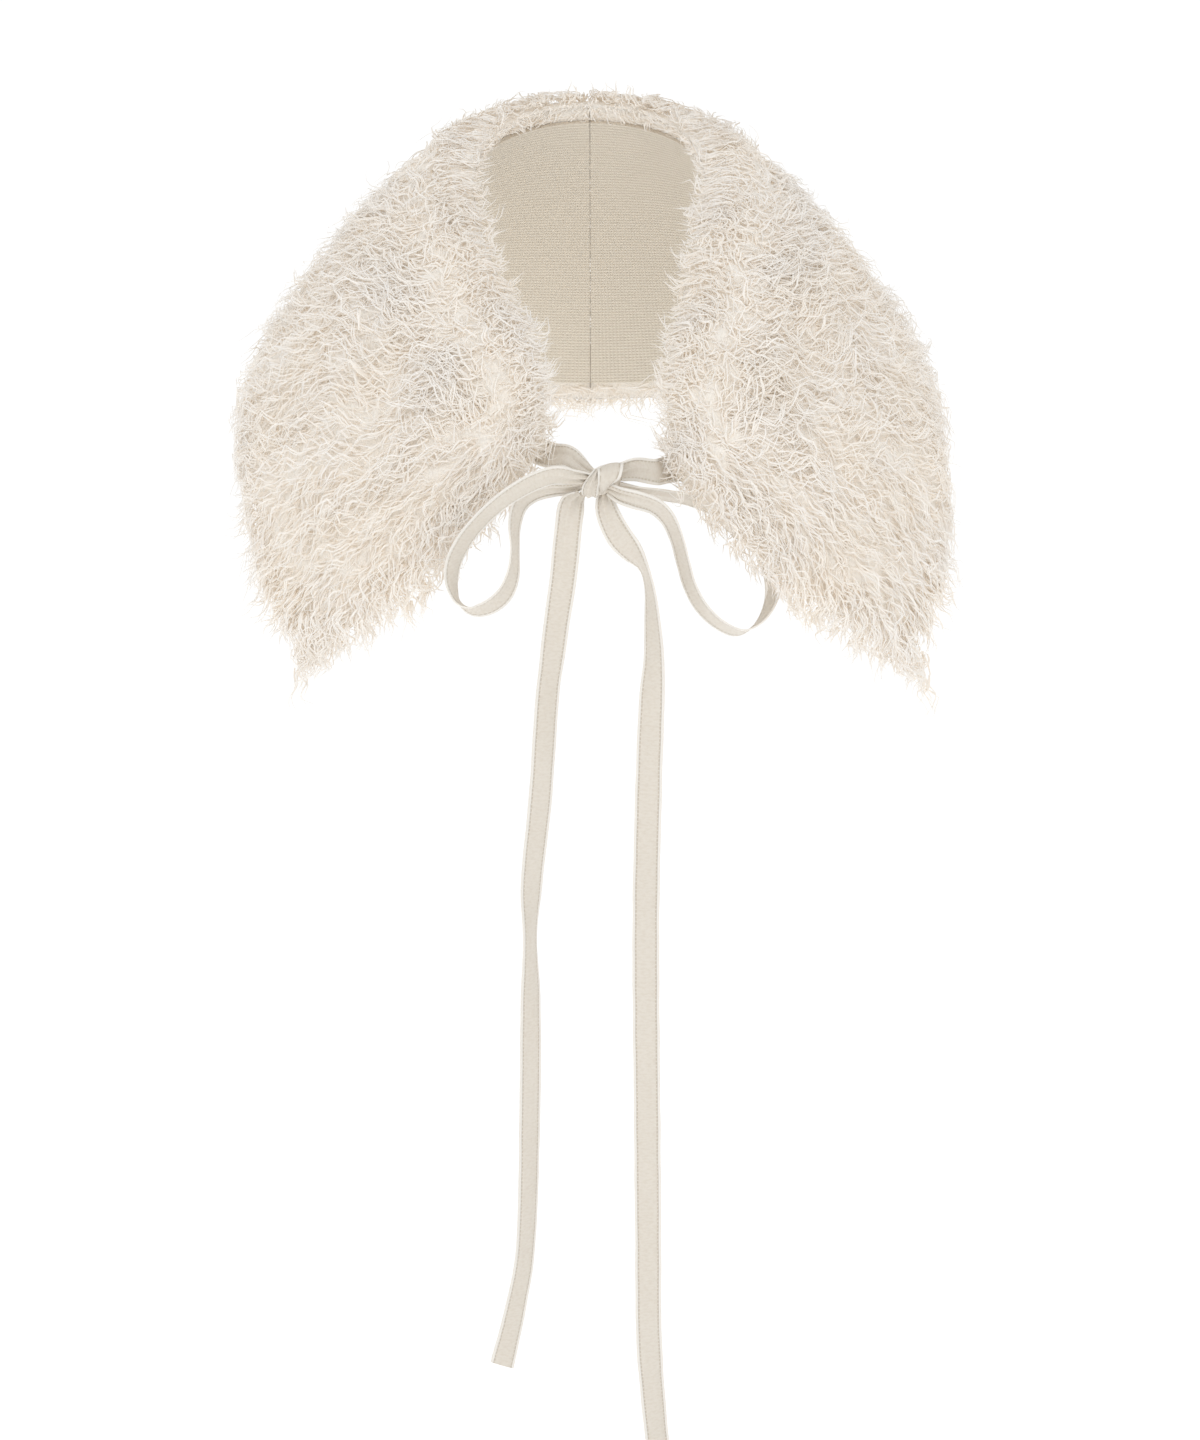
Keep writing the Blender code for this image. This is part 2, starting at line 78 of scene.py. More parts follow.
class Side(Enum):
    """The two halves, as seen from the front. The value is the sign of x."""

    LEFT = -1
    RIGHT = 1

    @property
    def label(self) -> str:
        """Return the word used in piece names."""
        return self.name.lower()


class Slot(Enum):
    """The record's material slots."""

    BACKING = "base_cloth"
    PILE = "fur"
    RIBBON = "ribbon"


class Cut(NamedTuple):
    """One cut across a half of the band: where the backing's edges run, and its pile."""

    neck_out: float     # neck edge: distance from the centre plane
    neck_y: float
    neck_z: float
    hem_out: float      # outer edge: distance from the centre plane
    hem_y: float
    hem_z: float
    crown: float        # how far the cloth bulges outwards between its edges
    pile: float         # depth of the pile half-way across
    roll: float         # how far the pile laps over the neck edge
    fringe: float       # how far the pile hangs past the outer edge


class Reach(NamedTuple):
    """How far the pile hangs past the front end, at one place across the band."""

    across: float       # 0 at the neck edge, 1 at the outer edge
    reach: float


class Turn(NamedTuple):
    """One row of a ribbon's route: a point of its centre line and its width's direction."""

    x: float
    y: float
    z: float
    across_x: float
    across_y: float
    across_z: float
    width: float        # share of the full width, less where the ribbon is gathered


# From the centre back, over the shoulder, to where the two fronts begin to differ.
SHOULDER_CUTS = (
    Cut(0.000, 0.080, 0.089, 0.000, 0.136, -0.050, 0.006, 0.025, 0.012, 0.015),
    Cut(0.029, 0.073, 0.086, 0.066, 0.121, -0.046, 0.006, 0.025, 0.012, 0.015),
    Cut(0.051, 0.052, 0.077, 0.116, 0.084, -0.044, 0.006, 0.025, 0.012, 0.015),
    Cut(0.061, 0.020, 0.061, 0.147, 0.033, -0.046, 0.008, 0.025, 0.012, 0.014),
    Cut(0.057, -0.014, 0.039, 0.152, -0.016, -0.058, 0.010, 0.025, 0.012, 0.013),
)
LEFT_FRONT_CUTS = (
    Cut(0.046, -0.046, 0.016, 0.147, -0.050, -0.084, 0.010, 0.024, 0.013, 0.014),
    Cut(0.031, -0.075, -0.012, 0.139, -0.071, -0.108, 0.008, 0.022, 0.014, 0.015),
    Cut(0.026, -0.094, -0.043, 0.127, -0.084, -0.127, 0.004, 0.019, 0.012, 0.015),
)
RIGHT_FRONT_CUTS = (
    Cut(0.051, -0.046, 0.014, 0.155, -0.050, -0.082, 0.010, 0.024, 0.013, 0.015),
    Cut(0.044, -0.075, -0.016, 0.151, -0.071, -0.107, 0.008, 0.022, 0.013, 0.016),
    Cut(0.042, -0.095, -0.052, 0.142, -0.084, -0.128, 0.004, 0.019, 0.010, 0.016),
)
FRONT_END = (
    Reach(-0.08, 0.006),
    Reach(0.00, 0.011),
    Reach(0.20, 0.022),
    Reach(0.55, 0.027),
    Reach(0.90, 0.021),
    Reach(1.10, 0.014),
)
# The ribbons' routes. A tie runs from its front corner to the knot, a loop leaves the knot
# and comes back to it, and a tail hangs from the knot.
TIE_LEFT = (
    Turn(-0.0105, -0.1060, -0.0450, 0.05, -0.62, -0.78, 0.85),
    Turn(-0.0046, -0.1120, -0.0476, 0.22, -0.72, -0.65, 0.70),
    Turn(0.0013, -0.1160, -0.0508, 0.25, -0.75, -0.60, 0.45),
)
TIE_RIGHT = (
    Turn(0.0300, -0.1080, -0.0520, 0.00, -0.35, -0.93, 0.94),
    Turn(0.0214, -0.1135, -0.0498, 0.00, -0.35, -0.93, 0.86),
    Turn(0.0139, -0.1165, -0.0506, 0.00, -0.35, -0.93, 0.62),
)
LOOP_LEFT = (
    Turn(-0.0004, -0.1206, -0.0524, 0.20, 0.50, -0.84, 0.45),
    Turn(-0.0068, -0.1240, -0.0514, 0.20, 0.55, -0.81, 0.70),
    Turn(-0.0153, -0.1270, -0.0499, 0.22, 0.60, -0.77, 0.95),
    Turn(-0.0244, -0.1280, -0.0525, 0.25, 0.65, -0.72, 1.0),
    Turn(-0.0335, -0.1280, -0.0575, 0.28, 0.70, -0.66, 1.0),
    Turn(-0.0417, -0.1270, -0.0637, 0.32, 0.74, -0.59, 1.0),
    Turn(-0.0494, -0.1260, -0.0713, 0.34, 0.76, -0.55, 1.0),
    Turn(-0.0564, -0.1240, -0.0804, 0.34, 0.77, -0.54, 1.0),
    Turn(-0.0616, -0.1220, -0.0911, 0.34, 0.77, -0.54, 1.0),
    Turn(-0.0626, -0.1200, -0.1013, 0.34, 0.77, -0.54, 1.0),
    Turn(-0.0596, -0.1190, -0.1104, 0.34, 0.77, -0.54, 1.0),
    Turn(-0.0532, -0.1180, -0.1148, 0.34, 0.77, -0.54, 1.0),
    Turn(-0.0454, -0.1180, -0.1129, 0.36, 0.74, -0.57, 1.0),
    Turn(-0.0385, -0.1170, -0.1071, 0.38, 0.72, -0.58, 1.0),
    Turn(-0.0348, -0.1160, -0.0979, 0.34, 0.77, -0.54, 1.0),
    Turn(-0.0339, -0.1140, -0.0871, 0.26, 0.85, -0.46, 1.0),
    Turn(-0.0339, -0.1130, -0.0757, 0.34, 0.77, -0.54, 1.0),
    Turn(-0.0315, -0.1120, -0.0666, 0.34, 0.72, -0.60, 1.0),
    Turn(-0.0256, -0.1110, -0.0617, 0.20, 0.70, -0.68, 1.0),
    Turn(-0.0169, -0.1110, -0.0598, 0.10, 0.75, -0.65, 0.90),
    Turn(-0.0095, -0.1120, -0.0592, 0.10, 0.75, -0.65, 0.70),
    Turn(-0.0036, -0.1140, -0.0572, 0.10, 0.75, -0.65, 0.40),
)
LOOP_RIGHT = (
    Turn(0.0087, -0.1212, -0.0576, -0.30, 0.60, -0.74, 0.45),
    Turn(0.0141, -0.1240, -0.0601, -0.30, 0.60, -0.74, 0.75),
    Turn(0.0222, -0.1250, -0.0622, -0.30, 0.65, -0.70, 1.0),
    Turn(0.0300, -0.1240, -0.0652, -0.32, 0.72, -0.62, 1.0),
    Turn(0.0359, -0.1220, -0.0716, -0.35, 0.80, -0.49, 1.0),
    Turn(0.0401, -0.1200, -0.0813, -0.35, 0.84, -0.42, 1.0),
    Turn(0.0429, -0.1180, -0.0919, -0.35, 0.84, -0.42, 1.0),
    Turn(0.0462, -0.1160, -0.1035, -0.35, 0.84, -0.42, 1.0),
    Turn(0.0518, -0.1150, -0.1141, -0.35, 0.84, -0.42, 1.0),
    Turn(0.0602, -0.1140, -0.1223, -0.35, 0.84, -0.42, 1.0),
    Turn(0.0699, -0.1120, -0.1265, -0.35, 0.84, -0.42, 1.0),
    Turn(0.0787, -0.1070, -0.1227, -0.40, 0.82, -0.41, 1.0),
    Turn(0.0843, -0.0985, -0.1144, -0.48, 0.80, -0.36, 1.0),
    Turn(0.0853, -0.0930, -0.1037, -0.62, 0.72, -0.31, 1.0),
    Turn(0.0813, -0.0885, -0.0936, -0.60, 0.75, -0.30, 1.0),
    Turn(0.0754, -0.0865, -0.0862, -0.50, 0.80, -0.35, 1.0),
    Turn(0.0675, -0.0860, -0.0795, -0.35, 0.80, -0.50, 1.0),
    Turn(0.0581, -0.0880, -0.0732, -0.25, 0.80, -0.55, 1.0),
    Turn(0.0464, -0.0915, -0.0680, -0.20, 0.82, -0.54, 1.0),
    Turn(0.0348, -0.1000, -0.0642, -0.15, 0.85, -0.50, 1.0),
    Turn(0.0233, -0.1095, -0.0601, -0.15, 0.85, -0.50, 0.85),
    Turn(0.0126, -0.1150, -0.0562, -0.15, 0.85, -0.50, 0.50),
)
TAIL_LEFT = (
    Turn(-0.0041, -0.1140, -0.0600, 0.95, 0.10, 0.30, 0.60),
    Turn(-0.0073, -0.1120, -0.0640, 0.99, 0.10, 0.10, 0.85),
    Turn(-0.0087, -0.1120, -0.0703, 1.00, 0.00, 0.00, 1.0),
    Turn(-0.0101, -0.1130, -0.0827, 1.00, 0.00, 0.00, 1.0),
    Turn(-0.0120, -0.1150, -0.1009, 0.99, 0.14, 0.00, 1.0),
    Turn(-0.0147, -0.1165, -0.1194, 0.95, 0.31, 0.00, 1.0),
    Turn(-0.0171, -0.1180, -0.1379, 0.88, 0.47, 0.00, 1.0),
    Turn(-0.0194, -0.1200, -0.1563, 0.84, 0.54, 0.00, 1.0),
    Turn(-0.0227, -0.1240, -0.2029, 0.84, 0.54, 0.00, 1.0),
    Turn(-0.0266, -0.1260, -0.2408, 0.78, 0.62, 0.00, 1.0),
    Turn(-0.0276, -0.1280, -0.2693, 0.47, 0.88, 0.00, 1.0),
    Turn(-0.0275, -0.1280, -0.3010, 0.71, 0.70, 0.00, 1.0),
    Turn(-0.0279, -0.1280, -0.3479, 0.76, 0.65, 0.00, 1.0),
    Turn(-0.0301, -0.1280, -0.4180, 0.70, 0.71, 0.00, 1.0),
    Turn(-0.0350, -0.1280, -0.4510, 0.80, 0.60, -0.05, 1.0),
    Turn(-0.0419, -0.1280, -0.4817, 0.90, 0.40, -0.15, 1.0),
)
TAIL_RIGHT = (
    Turn(0.0071, -0.1165, -0.0600, 0.95, -0.20, 0.20, 0.42),
    Turn(0.0073, -0.1175, -0.0644, 0.97, -0.20, 0.20, 0.70),
    Turn(0.0092, -0.1185, -0.0710, 0.97, -0.15, 0.25, 0.90),
    Turn(0.0136, -0.1190, -0.0795, 0.92, -0.10, 0.38, 1.0),
    Turn(0.0196, -0.1190, -0.0870, 0.70, -0.50, 0.40, 1.0),
    Turn(0.0251, -0.1195, -0.0944, 0.35, -0.90, 0.20, 1.0),
    Turn(0.0279, -0.1200, -0.1045, 0.35, -0.92, 0.10, 1.0),
    Turn(0.0290, -0.1210, -0.1184, 0.55, -0.83, 0.00, 1.0),
    Turn(0.0298, -0.1220, -0.1369, 0.72, -0.69, 0.00, 1.0),
    Turn(0.0289, -0.1230, -0.1556, 0.92, -0.40, 0.00, 1.0),
    Turn(0.0276, -0.1250, -0.1931, 0.98, -0.20, 0.00, 1.0),
    Turn(0.0264, -0.1270, -0.2502, 1.00, 0.00, 0.00, 1.0),
    Turn(0.0265, -0.1280, -0.2986, 1.00, 0.00, 0.00, 1.0),
    Turn(0.0271, -0.1280, -0.3479, 1.00, 0.00, 0.00, 1.0),
    Turn(0.0278, -0.1280, -0.4180, 0.99, 0.14, 0.00, 1.0),
    Turn(0.0284, -0.1280, -0.4689, 0.97, 0.24, 0.00, 1.0),
    Turn(0.0314, -0.1280, -0.5100, 0.88, 0.47, 0.00, 1.0),
    Turn(0.0349, -0.1280, -0.5412, 0.88, 0.47, 0.00, 1.0),
)

Placer = Callable[[np.ndarray, np.ndarray], np.ndarray]


def deselect() -> None:
    """Leave nothing selected, so that the next operator acts on its own piece alone."""
    bpy.ops.object.select_all(action="DESELECT")


def unit(vectors: np.ndarray) -> np.ndarray:
    """Return the vectors, along the last axis, at length 1."""
    lengths = np.linalg.norm(vectors, axis=-1, keepdims=True)
    return vectors / np.maximum(lengths, 1e-12)


def smoothstep(low: float, high: float, values: np.ndarray) -> np.ndarray:
    """Return 0 below low, 1 above high, and a smooth rise between the two."""
    x = np.clip((values - low) / (high - low), 0.0, 1.0)
    return x * x * (3.0 - 2.0 * x)


def quarter_round(x: np.ndarray) -> np.ndarray:
    """Return a quarter-round profile: 0 at x = 0 and 1 from x = 1 on."""
    return np.sqrt(1.0 - (1.0 - np.clip(x, 0.0, 1.0)) ** 2)


def scattered(count: int) -> np.ndarray:
    """Return rows of three numbers from 0 to 1 that fill the cube evenly."""
    index = np.arange(1, count + 1)
    return np.array(SCATTER_STEPS) * index[:, None] % 1.0


def smooth_rows(rows: np.ndarray, before: np.ndarray, places: np.ndarray) -> np.ndarray:
    """Read table rows at fractional row numbers, on a smooth curve through them.

    Args:
        rows: The table, one row for each section.
        before: The row that stands in before the first one.
        places: The row numbers to read, which need not be whole.

    Returns:
        One row of values for each place.
    """
    after = 2.0 * rows[-1] - rows[-2]
    padded = np.vstack([before, rows, after])
    first = np.clip(np.floor(places).astype(int), 0, len(rows) - 2)
    f = (places - first)[:, None]
    p0, p1, p2, p3 = (padded[first + k] for k in range(4))
    return 0.5 * (
        2.0 * p1
        + (p2 - p0) * f
        + (2.0 * p0 - 5.0 * p1 + 4.0 * p2 - p3) * f**2
        + (3.0 * p1 - p0 - 3.0 * p2 + p3) * f**3
    )


def add_grid(name: str, columns: int, rows: int) -> bpy.types.Object:
    """Add a flat grid primitive, one metre square, to be shaped afterwards."""
    deselect()
    bpy.ops.mesh.primitive_grid_add(x_subdivisions=columns, y_subdivisions=rows, size=1.0)
    grid = bpy.context.active_object
    grid.name = grid.data.name = name
    return grid


def shape_grid(grid: bpy.types.Object, place: Placer) -> None:
    """Move a grid's points.

    Args:
        grid: A grid from add_grid.
        place: Takes each point's place across and up the grid, from 0 to 1, and returns
            where it goes.
    """
    flat = np.empty(len(grid.data.vertices) * 3)
    grid.data.vertices.foreach_get("co", flat)
    flat = flat.reshape(-1, 3)
    moved = place(flat[:, 0] + 0.5, flat[:, 1] + 0.5)
    grid.data.vertices.foreach_set("co", moved.ravel())
    grid.data.update()


def close_tube(tube: bpy.types.Object) -> None:
    """Join a grid that was wrapped round into a tube, fill what stays open and turn it out."""
    bpy.context.view_layer.objects.active = tube
    tube.select_set(True)
    bpy.ops.object.mode_set(mode="EDIT")
    bpy.ops.mesh.select_all(action="SELECT")
    bpy.ops.mesh.remove_doubles(threshold=1e-6)
    bpy.ops.mesh.fill_holes(sides=0)
    bpy.ops.mesh.select_all(action="SELECT")
    bpy.ops.mesh.normals_make_consistent(inside=False)
    bpy.ops.object.mode_set(mode="OBJECT")
    tube.data.shade_smooth()


def apply_modifiers(piece: bpy.types.Object) -> None:
    """Apply a piece's modifiers in order."""
    bpy.context.view_layer.objects.active = piece
    for modifier in list(piece.modifiers):
        bpy.ops.object.modifier_apply(modifier=modifier.name)


def dress(piece: bpy.types.Object, material: bpy.types.Material) -> None:
    """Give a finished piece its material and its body."""
    piece.data.materials.clear()
    piece.data.materials.append(material)
    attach(piece, BODY)
    LOG.info("%s: %d faces", piece.name, len(piece.data.polygons))


@dataclass
class Band:
    """One half of the crescent, as a surface.

    A place on it is given in metres: `along` from the centre back to the front end, measured
    half-way across, `across` from the neck edge to the outer edge, and `height` off the cloth.
    """

    side: Side
    cuts: tuple[Cut, ...]
    seam_gap: float = GAP / 2.0     # each half stops this far from the centre-back plane
    neck_nose: float = 0.018        # how far in from its neck edge the pile is rounded
    hem_nose: float = 0.030         # and from its outer edge
    length: float = field(init=False)

    def __post_init__(self) -> None:
        """Work out the table's arrays and the half's length."""
        self.rows = np.array(self.cuts)
        self.before = self.rows[1].copy()
        self.before[[0, 3]] *= -1.0
        self.ends = np.array(FRONT_END)
        s = np.linspace(0.0, 1.0, 201)
        middle = self.cloth(s, np.full(len(s), 0.5))
        self.length = float(np.linalg.norm(np.diff(middle, axis=0), axis=1).sum())

    def cut(self, s: np.ndarray) -> np.ndarray:
        """Return the table's columns at each share s of the length."""
        return smooth_rows(self.rows, self.before, s * (len(self.rows) - 1))

    def cloth(self, s: np.ndarray, t: np.ndarray) -> np.ndarray:
        """Return points midway through the backing, before its crown is added."""
        cut = self.cut(s)
        point = cut[:, 0:3] * (1.0 - t)[:, None] + cut[:, 3:6] * t[:, None]
        point[:, 0] = self.side.value * (point[:, 0] + self.seam_gap)
        return point

    def surface(self, s: np.ndarray, t: np.ndarray) -> tuple[np.ndarray, np.ndarray]:
        """Return the backing's points and the directions away from the body."""
        step = 1e-4
        inside = np.clip(t, 0.0, 1.0)
        run = self.cloth(s + step, inside) - self.cloth(s - step, inside)
        rise = self.cloth(s, inside + step) - self.cloth(s, inside - step)
        out = unit(np.cross(run, rise)) * self.side.value
        bulge = self.cut(s)[:, 6] * 4.0 * t * (1.0 - t)
        return self.cloth(s, t) + out * bulge[:, None], out

    def width(self, along: np.ndarray) -> np.ndarray:
        """Return the straight distance from neck edge to outer edge."""
        cut = self.cut(np.minimum(along / self.length, 1.0))
        return np.linalg.norm(cut[:, 3:6] - cut[:, 0:3], axis=1)

    def place(self, along: np.ndarray, across: np.ndarray, height: np.ndarray) -> np.ndarray:
        """Return points of the half, which runs straight on past its front end."""
        s = np.minimum(along / self.length, 1.0)
        past = np.maximum(along - self.length, 0.0)
        t = across / self.width(along)
        point, out = self.surface(s, t)
        last = np.ones(len(t))
        onward = unit(self.surface(last, t)[0] - self.surface(last - 1e-3, t)[0])
        return point + out * height[:, None] + onward * past[:, None]

    def reach(self, along: np.ndarray, across: np.ndarray) -> np.ndarray:
        """Return how far the pile hangs past the front end."""
        return np.interp(across / self.width(along), self.ends[:, 0], self.ends[:, 1])

    def depth(self, along: np.ndarray, across: np.ndarray) -> np.ndarray:
        """Return the depth of the pile, which is rounded over every edge."""
        cut = self.cut(np.minimum(along / self.length, 1.0))
        pile, roll, fringe = cut[:, 7], cut[:, 8], cut[:, 9]
        rounded = quarter_round((across + roll) / self.neck_nose)
        rounded *= quarter_round((self.width(along) + fringe - across) / self.hem_nose)
        past = np.clip((along - self.length) / self.reach(along, across), 0.0, 1.0)
        return pile * rounded * np.sqrt(1.0 - past**2)


@dataclass(frozen=True)
class Coat:
    """One layer of the pile: bunches of tapered, wavy hairs, and their sizes."""

    name: str
    bunches: int                    # on one half
    edge_bunches: int               # and more, set close along its four edges
    bunch: int                      # hairs in a bunch
    rings: int                      # sections of a hair before its tip
    shortest: float
    longest: float
    root_spread: float              # how far apart a bunch's hairs stand
    gather: float                   # share of that spread lost at the tips
    root_width: float               # half the width of a hair at its root
    tip_width: float
    wave: float                     # length of one wave of the curl
    swing: float                    # how far the curl swings to each side
    hook: float                     # how far a tip turns aside, as a share of the length
    stand: tuple[float, float]      # least and most angle off the cloth at the root, in degrees
    lie: float                      # and at the tip
    sink: float                     # where a hair starts, as a share of the pile's depth
    stray: float                    # how far hairs leave the way they are combed, in radians
    droop: float                    # fall of a tip under its weight, as a share of the length
    flatness: float = 0.6           # a hair's thickness, as a share of its width
    turned: float = 1.4             # spread of the ways the hairs' ridges face, in radians


@dataclass(frozen=True)
class Combing:
    """The way the pile lies: away from the neck, over the shoulders and down."""

    behind: tuple[float, float] = (-0.02, 0.05)     # y over which the front turns into the back
    behind_pull: float = 1.3                        # how much more hair points backwards there
    behind_fall: float = 0.8                        # how much it falls there
    top_fall: float = -0.25                         # fall at the top of the front
    more_fall: float = 1.7                          # and how much more at its foot
    fall_heights: tuple[float, float] = (0.01, -0.125)
    parting: float = 0.03                           # across which edge hair turns the other way
    edge_fall: float = -0.35
    hem: tuple[float, float] = (-0.012, 0.006)      # from the outer edge
    hem_share: float = 0.7
    neck: tuple[float, float] = (0.012, -0.004)     # from the neck edge
    neck_share: float = 0.85
    end: tuple[float, float] = (-0.026, 0.006)      # from the front end
    end_share: float = 0.55
    end_run: float = 0.7
    end_fall: float = -0.8


WOOL = Coat("wool", bunches=6900, edge_bunches=900, bunch=1, rings=4, shortest=0.011,
            longest=0.017, root_spread=0.0008, gather=0.2, root_width=0.00066,
            tip_width=0.00016, wave=0.0130, swing=0.0016, hook=0.30, stand=(22.0, 59.0), lie=0.0,
            sink=0.77, stray=0.55, droop=0.03)
UNDER_WOOL = Coat("under_wool", bunches=0, edge_bunches=2300, bunch=1, rings=3, shortest=0.009,
                  longest=0.014, root_spread=0.0006, gather=0.2, root_width=0.00060,
                  tip_width=0.00014, wave=0.0110, swing=0.0011, hook=0.35, stand=(-62.0, 50.0),
                  lie=-22.0, sink=0.35, stray=0.60, droop=0.02)
LOCKS = Coat("locks", bunches=1350, edge_bunches=220, bunch=3, rings=8, shortest=0.018,
             longest=0.028, root_spread=0.0014, gather=0.80, root_width=0.00056,
             tip_width=0.00010, wave=0.0145, swing=0.0025, hook=0.22, stand=(23.0, 62.0), lie=6.0,
             sink=0.74, stray=0.27, droop=0.07)
WISPS = Coat("wisps", bunches=150, edge_bunches=70, bunch=1, rings=8, shortest=0.022,
             longest=0.034, root_spread=0.0010, gather=0.5, root_width=0.00042,
             tip_width=0.00010, wave=0.0160, swing=0.0028, hook=0.50, stand=(26.0, 70.0), lie=10.0,
             sink=0.74, stray=0.60, droop=0.05)
COATS = (WOOL, UNDER_WOOL, LOCKS, WISPS)
SEEDS = {Side.LEFT: 11, Side.RIGHT: 12}
TRIM = 0.0090                       # how far hair may stand out past the solids' box
DEEPEST = -0.009                    # how far hair past the backing may hang beneath the cloth
SPLIT_FROM = 1000                   # bunches from which a layer is cut into stretches
STRETCHES = ("back", "shoulder", "chest", "front")


@dataclass
class Pile:
    """The pile of one half: a dense body and the locks that stand out of it."""

    band: Band
    seed: int
    body_share: float = 0.79        # depth of the dense body, as a share of the pile
    fringe_share: float = 0.70      # how far it reaches past the edges, likewise
    lump: float = 0.0014            # height of the body's lumps
    lip: float = 0.0010             # least depth, at the very edge
    lump_fade: float = 0.006        # depth over which the lumps die away at the edges
    rise: float = BACKING_WALL / 2.0 + GAP
    body_rows: int = 150
    body_columns: int = 96
    top_share: float = 0.72         # share of the section that goes over the top
    end_share: float = 0.90         # share of the rows that come before the rounded front end
    behind: float = 0.0015          # how far roots are looked for past the centre back
    ahead: float = 0.0215           # how much further than the half they are looked for
    neck_roots: float = 0.75        # how far they go past the neck edge, as a share of the roll
    hem_roots: float = 0.70         # past the outer edge, as a share of the fringe
    end_roots: float = 0.70         # and past the front end, as a share of the reach
    thicker: float = 1.2            # how much closer the hair grows beside the neck edge
    thicker_at: float = 0.018
    thicker_width: float = 0.016
    edge_shares: tuple[float, float] = (0.42, 0.74)     # at the neck, then at the neck or the hem
    lowest_stand: float = -0.6      # least angle off the cloth at the front end, in radians
    combing: Combing = Combing()

    def body_section(self, u: np.ndarray, v: np.ndarray) -> np.ndarray:
        """Return points of the dense body.

        Args:
            u: Place round the section, from 0 to 1: over the top first, then back beneath.
            v: Place along the half, from 0 to 1.

        Returns:
            The points, in the row frame.
        """
        band = self.band
        along_inside = band.length * np.minimum(v / self.end_share, 1.0)
        beyond = np.clip((v - self.end_share) / (1.0 - self.end_share), 0.0, 1.0)
        cut = band.cut(along_inside / band.length)
        roll = cut[:, 8] * self.fringe_share
        fringe = cut[:, 9] * self.fringe_share
        width = band.width(along_inside)
        over = np.minimum(u / self.top_share, 1.0)
        under = np.clip((u - self.top_share) / (1.0 - self.top_share), 0.0, 1.0)
        is_top = u <= self.top_share
        is_last = v > 1.0 - 1e-6
        share = np.where(is_top, (1.0 - np.cos(math.pi * over)) / 2.0, 1.0 - under)
        # The last row's points over the top meet those beneath, so that the end closes by itself.
        beneath = self.body_columns * (1.0 - self.top_share)
        paired = np.minimum(np.round(share * beneath) / beneath, 1.0)
        share = np.where(is_last, paired, share)
        across = (width + roll + fringe) * share - roll
        reach = band.reach(along_inside, across) * self.fringe_share
        along = along_inside + reach * np.sin(beyond * math.pi / 2.0)
        nose = quarter_round((across + roll) / band.neck_nose)
        nose *= quarter_round((width + fringe - across) / band.hem_nose)
        closing = np.cos(beyond * math.pi / 2.0)
        deep = cut[:, 7] * self.body_share * nose * closing
        deep += self.lumps(along, across) * np.minimum(deep / self.lump_fade, 1.0)
        raised = is_top & (u > 1e-6)
        height = np.where(raised, np.maximum(deep, self.lip * closing), 0.0) + self.rise
        return band.place(along, across, height)

    def lumps(self, along: np.ndarray, across: np.ndarray) -> np.ndarray:
        """Return the uneven height of the body under the locks."""
        first = np.sin(along / 0.0021 + 2.0 * np.sin(across / 0.0090))
        second = np.sin(across / 0.0024 + 1.7 * np.sin(along / 0.0075))
        third = np.sin((along + across) / 0.0047)
        return self.lump * (0.4 * first + 0.35 * second + 0.25 * third)

    def build_body(self) -> bpy.types.Object:
        """Model the dense body from one grid, wrapped round the section."""
        body = add_grid(f"pile_{self.band.side.label}", self.body_columns, self.body_rows)
        shape_grid(body, self.body_section)
        close_tube(body)
        return body

    def roots(self, count: int) -> tuple[np.ndarray, np.ndarray]:
        """Return evenly scattered places on the half, as along and across."""
        band = self.band
        spread = scattered(count * 4)
        along = spread[:, 0] * (band.length + self.ahead) - self.behind
        cut = band.cut(np.clip(along / band.length, 0.0, 1.0))
        low = -self.neck_roots * cut[:, 8]
        high = band.width(along) + self.hem_roots * cut[:, 9]
        across = low + (high - low) * spread[:, 1]
        area = self.stretch(along, across) * (high - low)
        off = (across - self.thicker_at) / self.thicker_width
        area *= 1.0 + self.thicker * np.exp(-(off ** 2))
        inside = along - band.length < self.end_roots * band.reach(along, across)
        kept = inside & (spread[:, 2] < area / area.max(initial=1e-9))
        return along[kept][:count], across[kept][:count]

    def edge_roots(self, count: int) -> tuple[np.ndarray, np.ndarray]:
        """Return places close along the neck edge, the outer edge and the front end."""
        band = self.band
        spread = scattered(count)
        cut = band.cut(spread[:, 0])
        along = spread[:, 0] * band.length
        width = band.width(along)
        neck = -cut[:, 8] * (0.05 + 0.85 * spread[:, 1])
        hem = width + cut[:, 9] * (0.10 + 0.60 * spread[:, 1])
        end_across = spread[:, 0] * (width[-1] + 0.016) - 0.008
        end_reach = band.reach(np.full(count, band.length), end_across)
        end_along = band.length + end_reach * (0.15 + 0.83 * spread[:, 1])
        at_neck, at_hem = (spread[:, 2] < share for share in self.edge_shares)
        across = np.where(at_neck, neck, np.where(at_hem, hem, end_across))
        return np.where(at_hem, along, end_along), across

    def stretch(self, along: np.ndarray, across: np.ndarray) -> np.ndarray:
        """Return how far a step along goes here, as a share of one half-way across."""
        step, zero = 1e-4, np.zeros(len(along))
        onward = self.band.place(along + step, across, zero) - self.band.place(along, across, zero)
        return np.linalg.norm(onward, axis=1) / step

